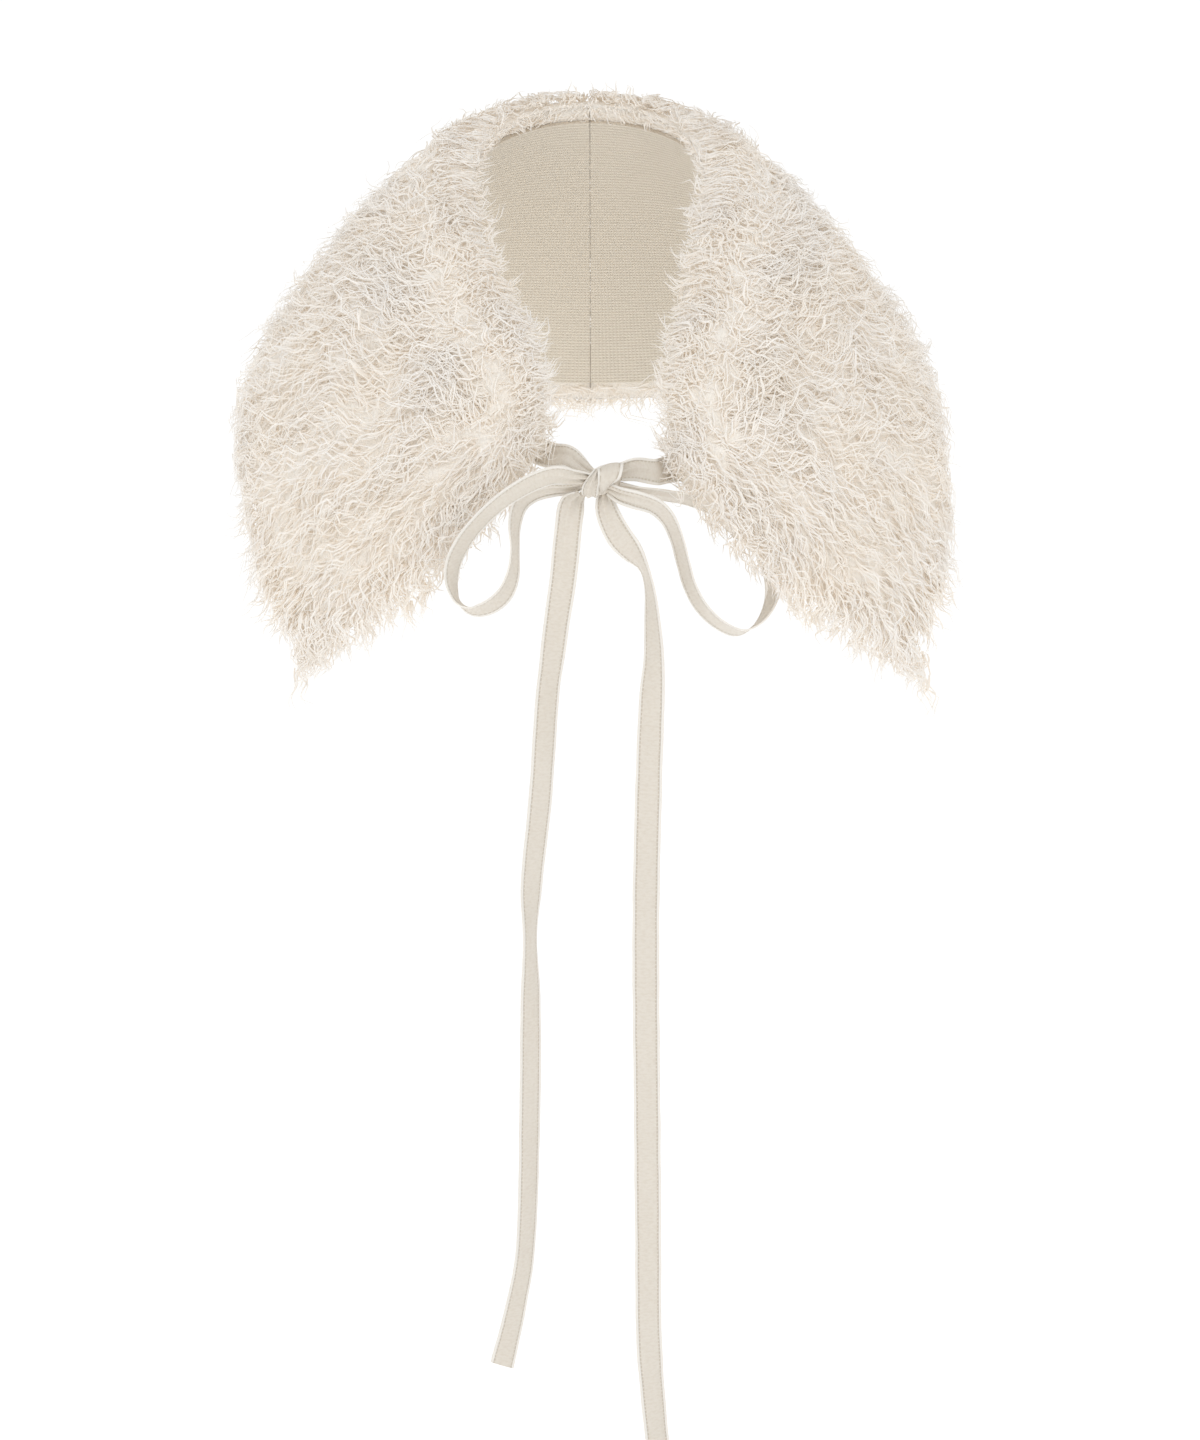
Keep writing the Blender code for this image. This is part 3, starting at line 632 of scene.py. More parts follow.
    def combed(self, along: np.ndarray, across: np.ndarray) -> np.ndarray:
        """Return the way the pile is combed, as steps along and across of unit length."""
        band, comb = self.band, self.combing
        step = 1e-4
        zero = np.zeros(len(along))
        here = band.place(along, across, zero)
        run = (band.place(along + step, across, zero) - here) / step
        rise = (band.place(along, across + step, zero) - here) / step
        behind = smoothstep(*comb.behind, here[:, 1])
        backwards = np.maximum(here[:, 1], 0.0) * comb.behind_pull
        away = unit(np.stack([here[:, 0], backwards], axis=1) + 1e-6)
        fall = comb.top_fall + comb.more_fall * smoothstep(*comb.fall_heights, here[:, 2])
        fall = fall * (1.0 - behind) + comb.behind_fall * behind
        outward = np.concatenate([away, -fall[:, None]], axis=1)
        over_edge = unit(rise) * np.sign(across - comb.parting)[:, None]
        over_edge = over_edge + [0.0, 0.0, comb.edge_fall]
        near_hem = smoothstep(*comb.hem, across - band.width(along)) * comb.hem_share
        near_neck = smoothstep(*comb.neck, across) * comb.neck_share
        edge = np.maximum(near_hem, near_neck)[:, None]
        hanging = unit(run) * comb.end_run + [0.0, 0.0, comb.end_fall]
        first, last = (band.length + place for place in comb.end)
        near_end = comb.end_share * smoothstep(first, last, along)[:, None]
        wish = outward * (1.0 - edge) + over_edge * edge
        wish = wish * (1.0 - near_end) + hanging * near_end
        pairs = ((run, run), (run, rise), (rise, rise), (wish, run), (wish, rise))
        aa, ab, bb, wa, wb = (np.sum(p * q, axis=1) for p, q in pairs)
        det = aa * bb - ab * ab
        heading = np.stack([(wa * bb - wb * ab) / det, (wb * aa - wa * ab) / det], axis=1)
        length = np.linalg.norm(heading[:, :1] * run + heading[:, 1:] * rise, axis=1)
        return heading / np.maximum(length, 1e-6)[:, None]

    def bearings(self, coat: Coat, along: np.ndarray, across: np.ndarray,
                 rng: np.random.Generator) -> np.ndarray:
        """Return the way each bunch lies: as it is combed, turned by swirls and by chance."""
        count = len(along)
        heading = self.combed(along, across)
        turned_in = rng.random(count) < 0.8 * smoothstep(0.022, 0.000, across)
        heading[turned_in] = unit(np.array([0.15, -1.0]))
        over_neck = smoothstep(0.010, -0.006, across)
        swirl = 0.40 * np.sin(along / 0.0105 + 1.3 * np.sin(across / 0.017))
        swirl += 0.32 * np.sin(across / 0.0125 - along / 0.019 + 2.1)
        stray = rng.normal(0.0, coat.stray, count)
        turn = swirl * (1.0 + over_neck) + stray * (1.0 + over_neck)
        turn += rng.normal(0.0, 0.6, count) * smoothstep(0.014, 0.0, along)
        cos, sin = np.cos(turn), np.sin(turn)
        return np.stack([heading[:, 0] * cos - heading[:, 1] * sin,
                         heading[:, 0] * sin + heading[:, 1] * cos], axis=1)

    def hairs(self, coat: Coat) -> tuple[np.ndarray, np.ndarray, np.ndarray, np.ndarray]:
        """Lay out every hair of one layer.

        Args:
            coat: The layer.

        Returns:
            The hairs' points, the way off the cloth at each, its tone from 0 to 1, and its
            place along the half.
        """
        band = self.band
        rng = np.random.default_rng(self.seed)
        inner, edge = self.roots(coat.bunches), self.edge_roots(coat.edge_bunches)
        along, across = (np.concatenate(pair) for pair in zip(inner, edge))
        count = len(along)
        heading = self.bearings(coat, along, across, rng)
        length = rng.uniform(coat.shortest, coat.longest, count)
        length *= 1.0 - 0.35 * smoothstep(0.028, 0.0, across)
        wave = coat.wave * rng.uniform(0.75, 1.3, count)
        phase = 2.4 * np.sin(along / 0.0120) + 2.2 * np.sin(across / 0.0135 + 1.0)
        phase += rng.normal(0.0, 0.8, count)
        swing = coat.swing * rng.uniform(0.5, 1.4, count)
        hook = rng.uniform(-coat.hook, coat.hook, count)
        sink = coat.sink * rng.uniform(0.85, 1.08, count)
        stand = np.radians(rng.uniform(*coat.stand, count))
        lie = math.radians(coat.lie) + rng.uniform(-0.20, 0.28, count)
        at_end = along > band.length
        stand = np.where(at_end, np.maximum(stand, self.lowest_stand), stand)
        lie = np.where(at_end, np.maximum(lie, 0.0), lie)
        sink = np.where(stand < 0.0, 0.0, sink)
        tone = rng.random(count)

        def each(values: np.ndarray) -> np.ndarray:
            return np.repeat(values, coat.bunch, axis=0)

        hairs = count * coat.bunch
        length = each(length) * rng.uniform(0.80, 1.05, hairs)
        wave = each(wave) * rng.normal(1.0, 0.06, hairs)
        phase = each(phase) + rng.normal(0.0, 0.40, hairs)
        swing = each(swing) * rng.uniform(0.8, 1.25, hairs)
        hook = each(hook) + rng.normal(0.0, 0.07, hairs)
        sink = each(sink) * rng.uniform(0.92, 1.06, hairs)
        stand = each(stand) + rng.normal(0.0, 0.14, hairs)
        lie = each(lie) + rng.normal(0.0, 0.09, hairs)
        heading = each(heading)
        tone = 0.7 * each(tone) + 0.3 * rng.random(hairs)
        offset = rng.normal(0.0, coat.root_spread, (hairs, 2))
        root_along, root_across = each(along), each(across)

        u = 1.0 - (1.0 - np.linspace(0.0, 1.0, coat.rings + 1)) ** 1.15
        fine = np.linspace(0.0, 1.0, 65)
        angle = stand[:, None] * (1.0 - fine) ** 1.2 + lie[:, None] * fine
        forward = np.cumsum(np.cos(angle), axis=1) / len(fine)
        upward = np.cumsum(np.sin(angle), axis=1) / len(fine)
        pick = np.round(u * 64).astype(int)
        forward, upward = forward[:, pick] * length[:, None], upward[:, pick] * length[:, None]
        grown = smoothstep(0.0, 0.45, u)[None, :]
        cycle = 2.0 * math.pi * u[None, :] * (length / wave)[:, None] + phase[:, None]
        side = swing[:, None] * np.sin(cycle) * grown
        side += (hook * length)[:, None] * u[None, :] ** 2.4
        lift = 0.55 * swing[:, None] * np.cos(cycle) * grown
        close = 1.0 - coat.gather * u[None, :] ** 0.8
        hair_along = (root_along[:, None] + heading[:, :1] * forward - heading[:, 1:] * side
                      + offset[:, :1] * close)
        hair_across = (root_across[:, None] + heading[:, 1:] * forward + heading[:, :1] * side
                       + offset[:, 1:] * close)
        shape = hair_along.shape
        flat_along, flat_across = hair_along.ravel(), hair_across.ravel()
        here = band.depth(flat_along, flat_across).reshape(shape)
        deep = 0.85 * here + 0.15 * here[:, :1]
        height = deep * sink[:, None] + upward + lift + self.rise
        over_backing = (hair_along < band.length) & (hair_across > 0.0)
        over_backing &= hair_across < band.width(flat_along).reshape(shape)
        lowest = np.where(over_backing, self.rise, DEEPEST)
        points = band.place(flat_along, flat_across, np.maximum(height, lowest).ravel())
        points = points.reshape(hairs, coat.rings + 1, 3)
        points[:, :, 2] -= coat.droop * length[:, None] * u[None, :] ** 2
        points = trimmed(points)
        out = band.place(root_along, root_across, np.ones(hairs))
        out = unit(out - band.place(root_along, root_across, np.zeros(hairs)))
        return points, out, tone, root_along

    def build_coat(self, coat: Coat) -> list[bpy.types.Object]:
        """Model one layer, as one joined mesh for each stretch of the half."""
        points, out, tone, root_along = self.hairs(coat)
        order = np.argsort(root_along, kind="stable")
        stretches = STRETCHES if coat.bunches >= SPLIT_FROM else ("all",)
        pieces = []
        for name, chosen in zip(stretches, np.array_split(order, len(stretches))):
            label = f"{coat.name}_{name}_{self.band.side.label}"
            pieces.append(hair_mesh(label, points[chosen], out[chosen], tone[chosen], coat))
        return pieces


def trimmed(points: np.ndarray) -> np.ndarray:
    """Shorten the hairs that stand out too far past the solids' box."""
    low, high = np.array(CAD_LOW) - TRIM, np.array(CAD_HIGH) + TRIM
    root = points[:, :1]
    grown = points - root
    room = np.where(grown > 0.0, high - root, root - low)
    share = np.min(np.maximum(room, 0.0) / np.maximum(np.abs(grown), 1e-9), axis=(1, 2))
    return root + grown * np.minimum(share, 1.0)[:, None, None]


def hair_mesh(name: str, points: np.ndarray, out: np.ndarray, tone: np.ndarray,
              coat: Coat) -> bpy.types.Object:
    """Make one mesh of many closed, tapered, three-sided hairs.

    Args:
        name: The piece's name.
        points: The hairs' centre lines, as hairs by sections by 3.
        out: The way off the cloth at each hair, which its ridge faces.
        tone: A value from 0 to 1 for each hair, kept as an attribute.
        coat: Gives the widths.

    Returns:
        The new object, at the origin.
    """
    hairs, sections = points.shape[:2]
    rings = sections - 1
    tangent = unit(np.gradient(points, axis=1))[:, :rings]
    sideways = unit(np.cross(tangent, out[:, None, :]))
    ridge = np.cross(sideways, tangent)
    u = np.linspace(0.0, 1.0, rings)
    width = coat.root_width + (coat.tip_width - coat.root_width) * u**1.5
    corners = []
    for k in range(3):
        turn = 2.0 * math.pi * k / 3.0 + (tone - 0.5) * coat.turned
        wide = (-np.sin(turn)[:, None] * width)[:, :, None]
        thick = (np.cos(turn)[:, None] * width * coat.flatness)[:, :, None]
        corners.append(points[:, :rings] + sideways * wide + ridge * thick)
    ring_points = np.stack(corners, axis=2).reshape(hairs, rings * 3, 3)
    vertices = np.concatenate([ring_points, points[:, -1:]], axis=1)
    per_hair = rings * 3 + 1
    quads, triangles = [], [(2, 1, 0)]
    for ring in range(rings - 1):
        low, high = ring * 3, (ring + 1) * 3
        quads += [(low + k, low + (k + 1) % 3, high + (k + 1) % 3, high + k) for k in range(3)]
    top = (rings - 1) * 3
    triangles += [(top + k, top + (k + 1) % 3, rings * 3) for k in range(3)]
    start = (np.arange(hairs) * per_hair)[:, None, None]
    quad_loops = (np.array(quads)[None] + start).reshape(-1)
    triangle_loops = (np.array(triangles)[None] + start).reshape(-1)
    sizes = np.concatenate([np.full(hairs * len(quads), 4), np.full(hairs * len(triangles), 3)])
    mesh = bpy.data.meshes.new(name)
    mesh.vertices.add(hairs * per_hair)
    mesh.vertices.foreach_set("co", vertices.reshape(-1))
    loops = np.concatenate([quad_loops, triangle_loops])
    mesh.loops.add(len(loops))
    mesh.loops.foreach_set("vertex_index", loops.astype(np.int32))
    mesh.polygons.add(len(sizes))
    mesh.polygons.foreach_set("loop_start", (np.cumsum(sizes) - sizes).astype(np.int32))
    mesh.update(calc_edges=True)
    mesh.validate()
    mesh.shade_flat()
    grown = np.concatenate([np.repeat(u, 3), [1.0]])
    add_attribute(mesh, "grown", np.tile(grown, hairs))
    add_attribute(mesh, "tone", np.repeat(tone, per_hair))
    piece = bpy.data.objects.new(name, mesh)
    bpy.context.scene.collection.objects.link(piece)
    return piece


def add_attribute(mesh: bpy.types.Mesh, name: str, values: np.ndarray) -> None:
    """Store one number for each point of a mesh."""
    attribute = mesh.attributes.new(name, "FLOAT", "POINT")
    attribute.data.foreach_set("value", values.astype(np.float32))


@dataclass
class Backing:
    """The knitted cloth under the pile of one half, which shows from inside and below."""

    band: Band
    wall: float = BACKING_WALL
    columns: int = 24
    rows: int = 60

    def build(self) -> bpy.types.Object:
        """Model the cloth as a grid laid on the half and given its thickness."""
        band = self.band
        cloth = add_grid(f"backing_{band.side.label}", self.columns, self.rows)

        def lay(u: np.ndarray, v: np.ndarray) -> np.ndarray:
            along = v * band.length
            return band.place(along, u * band.width(along), np.zeros(len(u)))

        shape_grid(cloth, lay)
        thick = cloth.modifiers.new("wall", "SOLIDIFY")
        thick.thickness = self.wall
        thick.offset = 0.0
        thick.use_even_offset = True
        apply_modifiers(cloth)
        recalculate(cloth)
        return cloth

    def flat_size(self) -> tuple[float, float, float]:
        """Return the cut's width, length and area when laid flat."""
        band = self.band
        s = np.linspace(0.0, 1.0, 81)
        widths = band.width(s * band.length)
        steps = []
        for t in np.linspace(0.05, 0.95, 10):
            line = band.cloth(s, np.full(len(s), t))
            steps.append(np.linalg.norm(np.diff(line, axis=0), axis=1))
        mean_step = np.mean(steps, axis=0)
        area = float(np.sum(mean_step * (widths[1:] + widths[:-1]) / 2.0))
        return float(widths.max()), area / float(widths.mean()), area


def recalculate(piece: bpy.types.Object) -> None:
    """Turn all of a closed piece's faces outwards and shade it smooth."""
    deselect()
    bpy.context.view_layer.objects.active = piece
    piece.select_set(True)
    bpy.ops.object.mode_set(mode="EDIT")
    bpy.ops.mesh.select_all(action="SELECT")
    bpy.ops.mesh.normals_make_consistent(inside=False)
    bpy.ops.object.mode_set(mode="OBJECT")
    bpy.ops.object.shade_smooth_by_angle(angle=math.radians(40.0))


@dataclass
class Ribbon:
    """A length of flat ribbon that follows its route, gathered where the route is narrow."""

    name: str
    route: tuple[Turn, ...]
    spacing: float = 0.0020         # from one cross-section to the next
    columns: int = 16
    wall: float = RIBBON_WALL
    cup: float = 0.0007             # how far the middle stands out of the edges' plane
    pleat: float = 0.0011           # depth of the lengthwise folds next to the knot
    pleat_reach: float = 0.016      # how fast they die away from it
    folds: float = 2.4              # lengthwise folds across the width
    tied_start: bool = True
    tied_end: bool = False
    slant: float = 0.0              # how far one corner of the cut end runs past the other
    inner: float = 0.80             # share of the width inside the selvedges
    inner_wall: float = 0.70        # its thickness, as a share of theirs

    def __post_init__(self) -> None:
        """Read the route as closely spaced sections."""
        rows = np.array(self.route)
        before = 2.0 * rows[0] - rows[1]
        fine = np.linspace(0.0, len(rows) - 1.0, (len(rows) - 1) * 24 + 1)
        line = smooth_rows(rows, before, fine)[:, 0:3]
        run = np.concatenate([[0.0], np.cumsum(np.linalg.norm(np.diff(line, axis=0), axis=1))])
        self.length = float(run[-1])
        self.sections = max(24, round(self.length / self.spacing))
        places = np.interp(np.linspace(0.0, self.length, self.sections + 1), run, fine)
        read = smooth_rows(rows, before, places)
        self.centre = read[:, 0:3]
        self.tangent = unit(np.gradient(self.centre, axis=0))
        across = read[:, 3:6]
        across = across - self.tangent * np.sum(across * self.tangent, axis=1, keepdims=True)
        self.across = unit(across)
        self.through = np.cross(self.tangent, self.across)
        self.share = np.clip(read[:, 6], 0.2, 1.0)

    def lay(self, u: np.ndarray, v: np.ndarray) -> np.ndarray:
        """Return the ribbon's middle surface: u runs across it and v along it."""
        row = np.round(v * self.sections).astype(int)
        side = u - 0.5
        share = self.share[row]
        run = v * self.length
        gathered = self.tied_start * np.exp(-run / self.pleat_reach)
        gathered += self.tied_end * np.exp((run - self.length) / self.pleat_reach)
        cup = self.cup * (1.0 - 4.0 * side**2) * (0.6 + 0.4 * np.sin(run / 0.017 + 0.8))
        turn = self.folds * 2.0 * math.pi * side + 0.9 + 0.5 * np.sin(run / 0.012)
        fold = self.pleat * np.minimum(gathered, 1.0) * (np.cos(turn) + 0.25 * np.cos(2.0 * turn))
        edge = 0.00012 * np.sin(run / 0.0037) + 0.00010 * np.sin(run / 0.0061 + 2.0)
        half = (RIBBON_WIDTH * share + edge) * side
        ahead = self.slant * side * np.clip((v - 0.97) / 0.03, 0.0, 1.0)
        return (self.centre[row] + self.across[row] * half[:, None]
                + self.through[row] * (cup + fold)[:, None]
                + self.tangent[row] * ahead[:, None])

    def build(self) -> bpy.types.Object:
        """Model the ribbon: a grid on its route, thicker along both selvedges."""
        strip = add_grid(self.name, self.columns, self.sections)
        shape_grid(strip, self.lay)
        body = strip.vertex_groups.new(name="thickness")
        flat = np.empty(len(strip.data.uv_layers.active.data) * 2)
        strip.data.uv_layers.active.data.foreach_get("uv", flat)
        u = np.zeros(len(strip.data.vertices))
        corners = np.empty(len(strip.data.loops), dtype=np.int32)
        strip.data.loops.foreach_get("vertex_index", corners)
        u[corners] = flat.reshape(-1, 2)[:, 0]
        edge = np.abs(u - 0.5) * 2.0
        for weight, chosen in ((1.0, edge > self.inner), (self.inner_wall, edge <= self.inner)):
            body.add(np.flatnonzero(chosen).tolist(), weight, "REPLACE")
        thick = strip.modifiers.new("wall", "SOLIDIFY")
        thick.thickness = self.wall
        thick.offset = 0.0
        thick.vertex_group = body.name
        apply_modifiers(strip)
        recalculate(strip)
        return strip


@dataclass
class Knot:
    """The middle of the bow: a band of ribbon wound over a gathered core."""

    middle: tuple[float, float, float] = (0.0066, -0.1174, -0.0538)
    core_size: tuple[float, float, float] = (0.0076, 0.0048, 0.0072)
    core_folds: float = 7.0         # folds round the gathered core
    fold_depth: float = 0.07        # their depth, as a share of its size
    fold_twist: float = 3.0         # how far they turn from its middle to its top, in radians
    lean: float = 0.35              # how far it leans to the right as it rises
    band: tuple[Turn, ...] = (
        Turn(0.0080, -0.1124, -0.0590, 0.98, 0.00, 0.10, 0.50),
        Turn(0.0096, -0.1110, -0.0552, 0.97, 0.00, 0.20, 0.60),
        Turn(0.0108, -0.1122, -0.0512, 0.95, 0.18, 0.26, 0.74),
        Turn(0.0106, -0.1160, -0.0491, 0.94, 0.22, 0.28, 0.90),
        Turn(0.0099, -0.1198, -0.0485, 0.93, 0.28, 0.26, 0.98),
        Turn(0.0092, -0.1226, -0.0495, 0.94, 0.28, 0.22, 0.93),
        Turn(0.0083, -0.1237, -0.0513, 0.96, 0.22, 0.14, 0.76),
        Turn(0.0072, -0.1237, -0.0538, 0.98, 0.12, 0.10, 0.50),
        Turn(0.0063, -0.1224, -0.0561, 0.98, 0.05, 0.08, 0.28),
        Turn(0.0058, -0.1195, -0.0577, 0.98, 0.10, 0.05, 0.24),
        Turn(0.0060, -0.1160, -0.0590, 0.98, 0.10, 0.05, 0.24),
    )
    fan: tuple[Turn, ...] = (
        Turn(0.0042, -0.1212, -0.0488, 0.90, 0.10, -0.30, 0.24),
        Turn(0.0030, -0.1227, -0.0508, 0.92, 0.05, -0.28, 0.32),
        Turn(0.0017, -0.1230, -0.0537, 0.95, 0.00, -0.22, 0.46),
        Turn(0.0006, -0.1223, -0.0567, 0.97, 0.00, -0.15, 0.58),
        Turn(0.0003, -0.1206, -0.0595, 0.98, 0.00, -0.10, 0.60),
        Turn(0.0006, -0.1182, -0.0607, 0.98, 0.05, -0.05, 0.52),
        Turn(0.0018, -0.1158, -0.0599, 0.98, 0.05, 0.00, 0.42),
    )

    def build(self) -> bpy.types.Object:
        """Model the core, the band and the little fan of folds, and join them."""
        deselect()
        bpy.ops.mesh.primitive_uv_sphere_add(segments=32, ring_count=20, radius=1.0)
        core = bpy.context.active_object
        core.name = core.data.name = "bow_knot"
        points = np.empty(len(core.data.vertices) * 3)
        core.data.vertices.foreach_get("co", points)
        points = points.reshape(-1, 3)
        turn = np.arctan2(points[:, 1], points[:, 0])
        wave = np.cos(self.core_folds * turn + self.fold_twist * points[:, 2])
        fold = 1.0 + self.fold_depth * wave
        gathered = np.stack([fold, fold, np.ones_like(fold)], axis=1)
        points = points * np.array(self.core_size) * gathered
        points[:, 0] += points[:, 2] * self.lean
        core.data.vertices.foreach_set("co", (points + np.array(self.middle)).ravel())
        core.data.update()
        band = Ribbon("knot_band", self.band, spacing=0.0007, pleat=0.00025, cup=0.0024,
                      pleat_reach=0.030, folds=1.5).build()
        fan = Ribbon("knot_fan", self.fan, spacing=0.0007, pleat=0.0007, cup=0.0009,
                     pleat_reach=0.030, folds=2.0).build()
        deselect()
        for piece in (band, fan, core):
            piece.select_set(True)
        bpy.context.view_layer.objects.active = core
        bpy.ops.object.join()
        recalculate(core)
        return core


def set_inputs(node: bpy.types.Node, values: dict[str, object]) -> None:
    """Set some of a node's inputs, each by its name."""
    for name, value in values.items():
        node.inputs[name].default_value = value


class Graph:
    """Adds and joins the nodes of one material or node group."""

    def __init__(self, tree: bpy.types.NodeTree) -> None:
        """Keep the tree that the nodes go into."""
        self.tree = tree

    def node(self, kind: str, **settings: object) -> bpy.types.Node:
        """Add a node and set its properties."""
        made = self.tree.nodes.new(kind)
        for name, value in settings.items():
            setattr(made, name, value)
        return made

    def join(self, start: bpy.types.NodeSocket, end: bpy.types.NodeSocket) -> None:
        """Link an output to an input."""
        self.tree.links.new(start, end)

    def feed(self, socket: bpy.types.NodeSocket, value: object) -> None:
        """Link an input to another node's output, or set it where the value is plain."""
        if isinstance(value, bpy.types.NodeSocket):
            self.join(value, socket)
        else:
            socket.default_value = value

    def math(self, operation: str, first: object, second: object = 0.0) -> bpy.types.NodeSocket:
        """Add a Math node whose inputs are sockets or numbers, and return its output."""
        made = self.node("ShaderNodeMath", operation=operation)
        for socket, value in zip(made.inputs, (first, second)):
            self.feed(socket, value)
        return made.outputs[0]

    def ramp(self, value: bpy.types.NodeSocket, low: float, high: float) -> bpy.types.NodeSocket:
        """Return a smooth rise from 0 where the value is low to 1 where it is high."""
        made = self.node("ShaderNodeMapRange", interpolation_type="SMOOTHSTEP")
        self.join(value, made.inputs["Value"])
        set_inputs(made, {"From Min": low, "From Max": high})
        return made.outputs["Result"]

    def wave(self, distance: bpy.types.NodeSocket, pitch: object) -> bpy.types.NodeSocket:
        """Return a sine wave of that pitch along a distance, from -1 to 1."""
        turns = self.math("DIVIDE", distance, pitch)
        return self.math("SINE", self.math("MULTIPLY", turns, 2.0 * math.pi))

    def bump(self, shader: bpy.types.Node, height: bpy.types.NodeSocket, strength: float,
             distance: float) -> None:
        """Raise a shader's surface by a height."""
        made = self.node("ShaderNodeBump")
        set_inputs(made, {"Strength": strength, "Distance": distance})
        self.join(height, made.inputs["Height"])
        self.join(made.outputs["Normal"], shader.inputs["Normal"])

    def place(self, effect: bpy.types.ShaderNodeTree, **values: object) -> bpy.types.Node:
        """Place a shared effect and set its inputs, each by a socket or a number."""
        made = self.node("ShaderNodeGroup", node_tree=effect)
        for name, value in values.items():
            self.feed(made.inputs[name.capitalize()], value)
        return made

    def mix(self, share: bpy.types.NodeSocket, low: object, high: object) -> bpy.types.NodeSocket:
        """Mix two colours, each a socket or a colour, and return the result."""
        made = self.node("ShaderNodeMix", data_type="RGBA")
        self.join(share, made.inputs["Factor"])
        for socket, value in ((made.inputs[6], low), (made.inputs[7], high)):
            is_socket = isinstance(value, bpy.types.NodeSocket)
            self.feed(socket, value if is_socket else (*value, 1.0))
        return made.outputs[2]

    def noise(self, **values: float) -> bpy.types.Node:
        """Add a noise texture and set its inputs."""
        made = self.node("ShaderNodeTexNoise")
        set_inputs(made, {name.capitalize(): value for name, value in values.items()})
        return made


def new_material(name: str) -> tuple[bpy.types.Material, Graph, bpy.types.Node]:
    """Make a material and return it with its graph and its Principled shader."""
    material = bpy.data.materials.new(name)
    material.use_nodes = True
    graph = Graph(material.node_tree)
    return material, graph, material.node_tree.nodes["Principled BSDF"]


class Kind(Enum):
    """The kinds of socket on a shared effect."""

    NUMBER = "NodeSocketFloat"
    VECTOR = "NodeSocketVector"


def new_effect(name: str, inputs: dict[str, Kind],
               outputs: tuple[str, ...]) -> tuple[Graph, bpy.types.Node, bpy.types.Node]:
    """Start a shared effect as a shader node group.

    Args:
        name: The group's name.
        inputs: The names and kinds of its inputs.
        outputs: The names of its outputs, which are all numbers.

    Returns:
        The group's graph, and its input and output nodes.
    """
    tree = bpy.data.node_groups.new(name, "ShaderNodeTree")
    for label, kind in inputs.items():
        tree.interface.new_socket(label, in_out="INPUT", socket_type=kind.value)
    for label in outputs:
        tree.interface.new_socket(label, in_out="OUTPUT", socket_type=Kind.NUMBER.value)
    graph = Graph(tree)
    return graph, graph.node("NodeGroupInput"), graph.node("NodeGroupOutput")


def tone_effect() -> bpy.types.ShaderNodeTree:
    """Build uneven colour: broad patches, and fine fibres of a given size."""
    graph, start, end = new_effect("uneven_tone", {"Fibre": Kind.NUMBER}, ("Patch", "Fine"))
    place = graph.node("ShaderNodeTexCoord").outputs["Object"]
    patch = graph.noise(scale=26.0, detail=3.0)
    graph.join(place, patch.inputs["Vector"])
    fine = graph.noise(detail=4.0, distortion=1.2)
    graph.join(place, fine.inputs["Vector"])
    graph.join(graph.math("DIVIDE", 1.0, start.outputs["Fibre"]), fine.inputs["Scale"])
    graph.join(patch.outputs["Fac"], end.inputs["Patch"])
    graph.join(fine.outputs["Fac"], end.inputs["Fine"])
    return graph.tree


class ClothEffect(NamedTuple):
    """The start of a shared effect that is laid out on a cloth's flat pattern."""

    graph: Graph
    start: bpy.types.Node
    end: bpy.types.Node
    share: bpy.types.NodeSocket     # of the way across the cloth
    along: bpy.types.NodeSocket     # distance along it


def new_cloth_effect(name: str, outputs: tuple[str, ...]) -> ClothEffect:
    """Start a shared effect with that name and those outputs, all of them numbers."""
    inputs = {"Uv": Kind.VECTOR, "Length": Kind.NUMBER, "Width": Kind.NUMBER, "Pitch": Kind.NUMBER}
    graph, start, end = new_effect(name, inputs, outputs)
    split = graph.node("ShaderNodeSeparateXYZ")
    graph.join(start.outputs["Uv"], split.inputs["Vector"])
    along = graph.math("MULTIPLY", split.outputs["Y"], start.outputs["Length"])
    return ClothEffect(graph, start, end, split.outputs["X"], along)


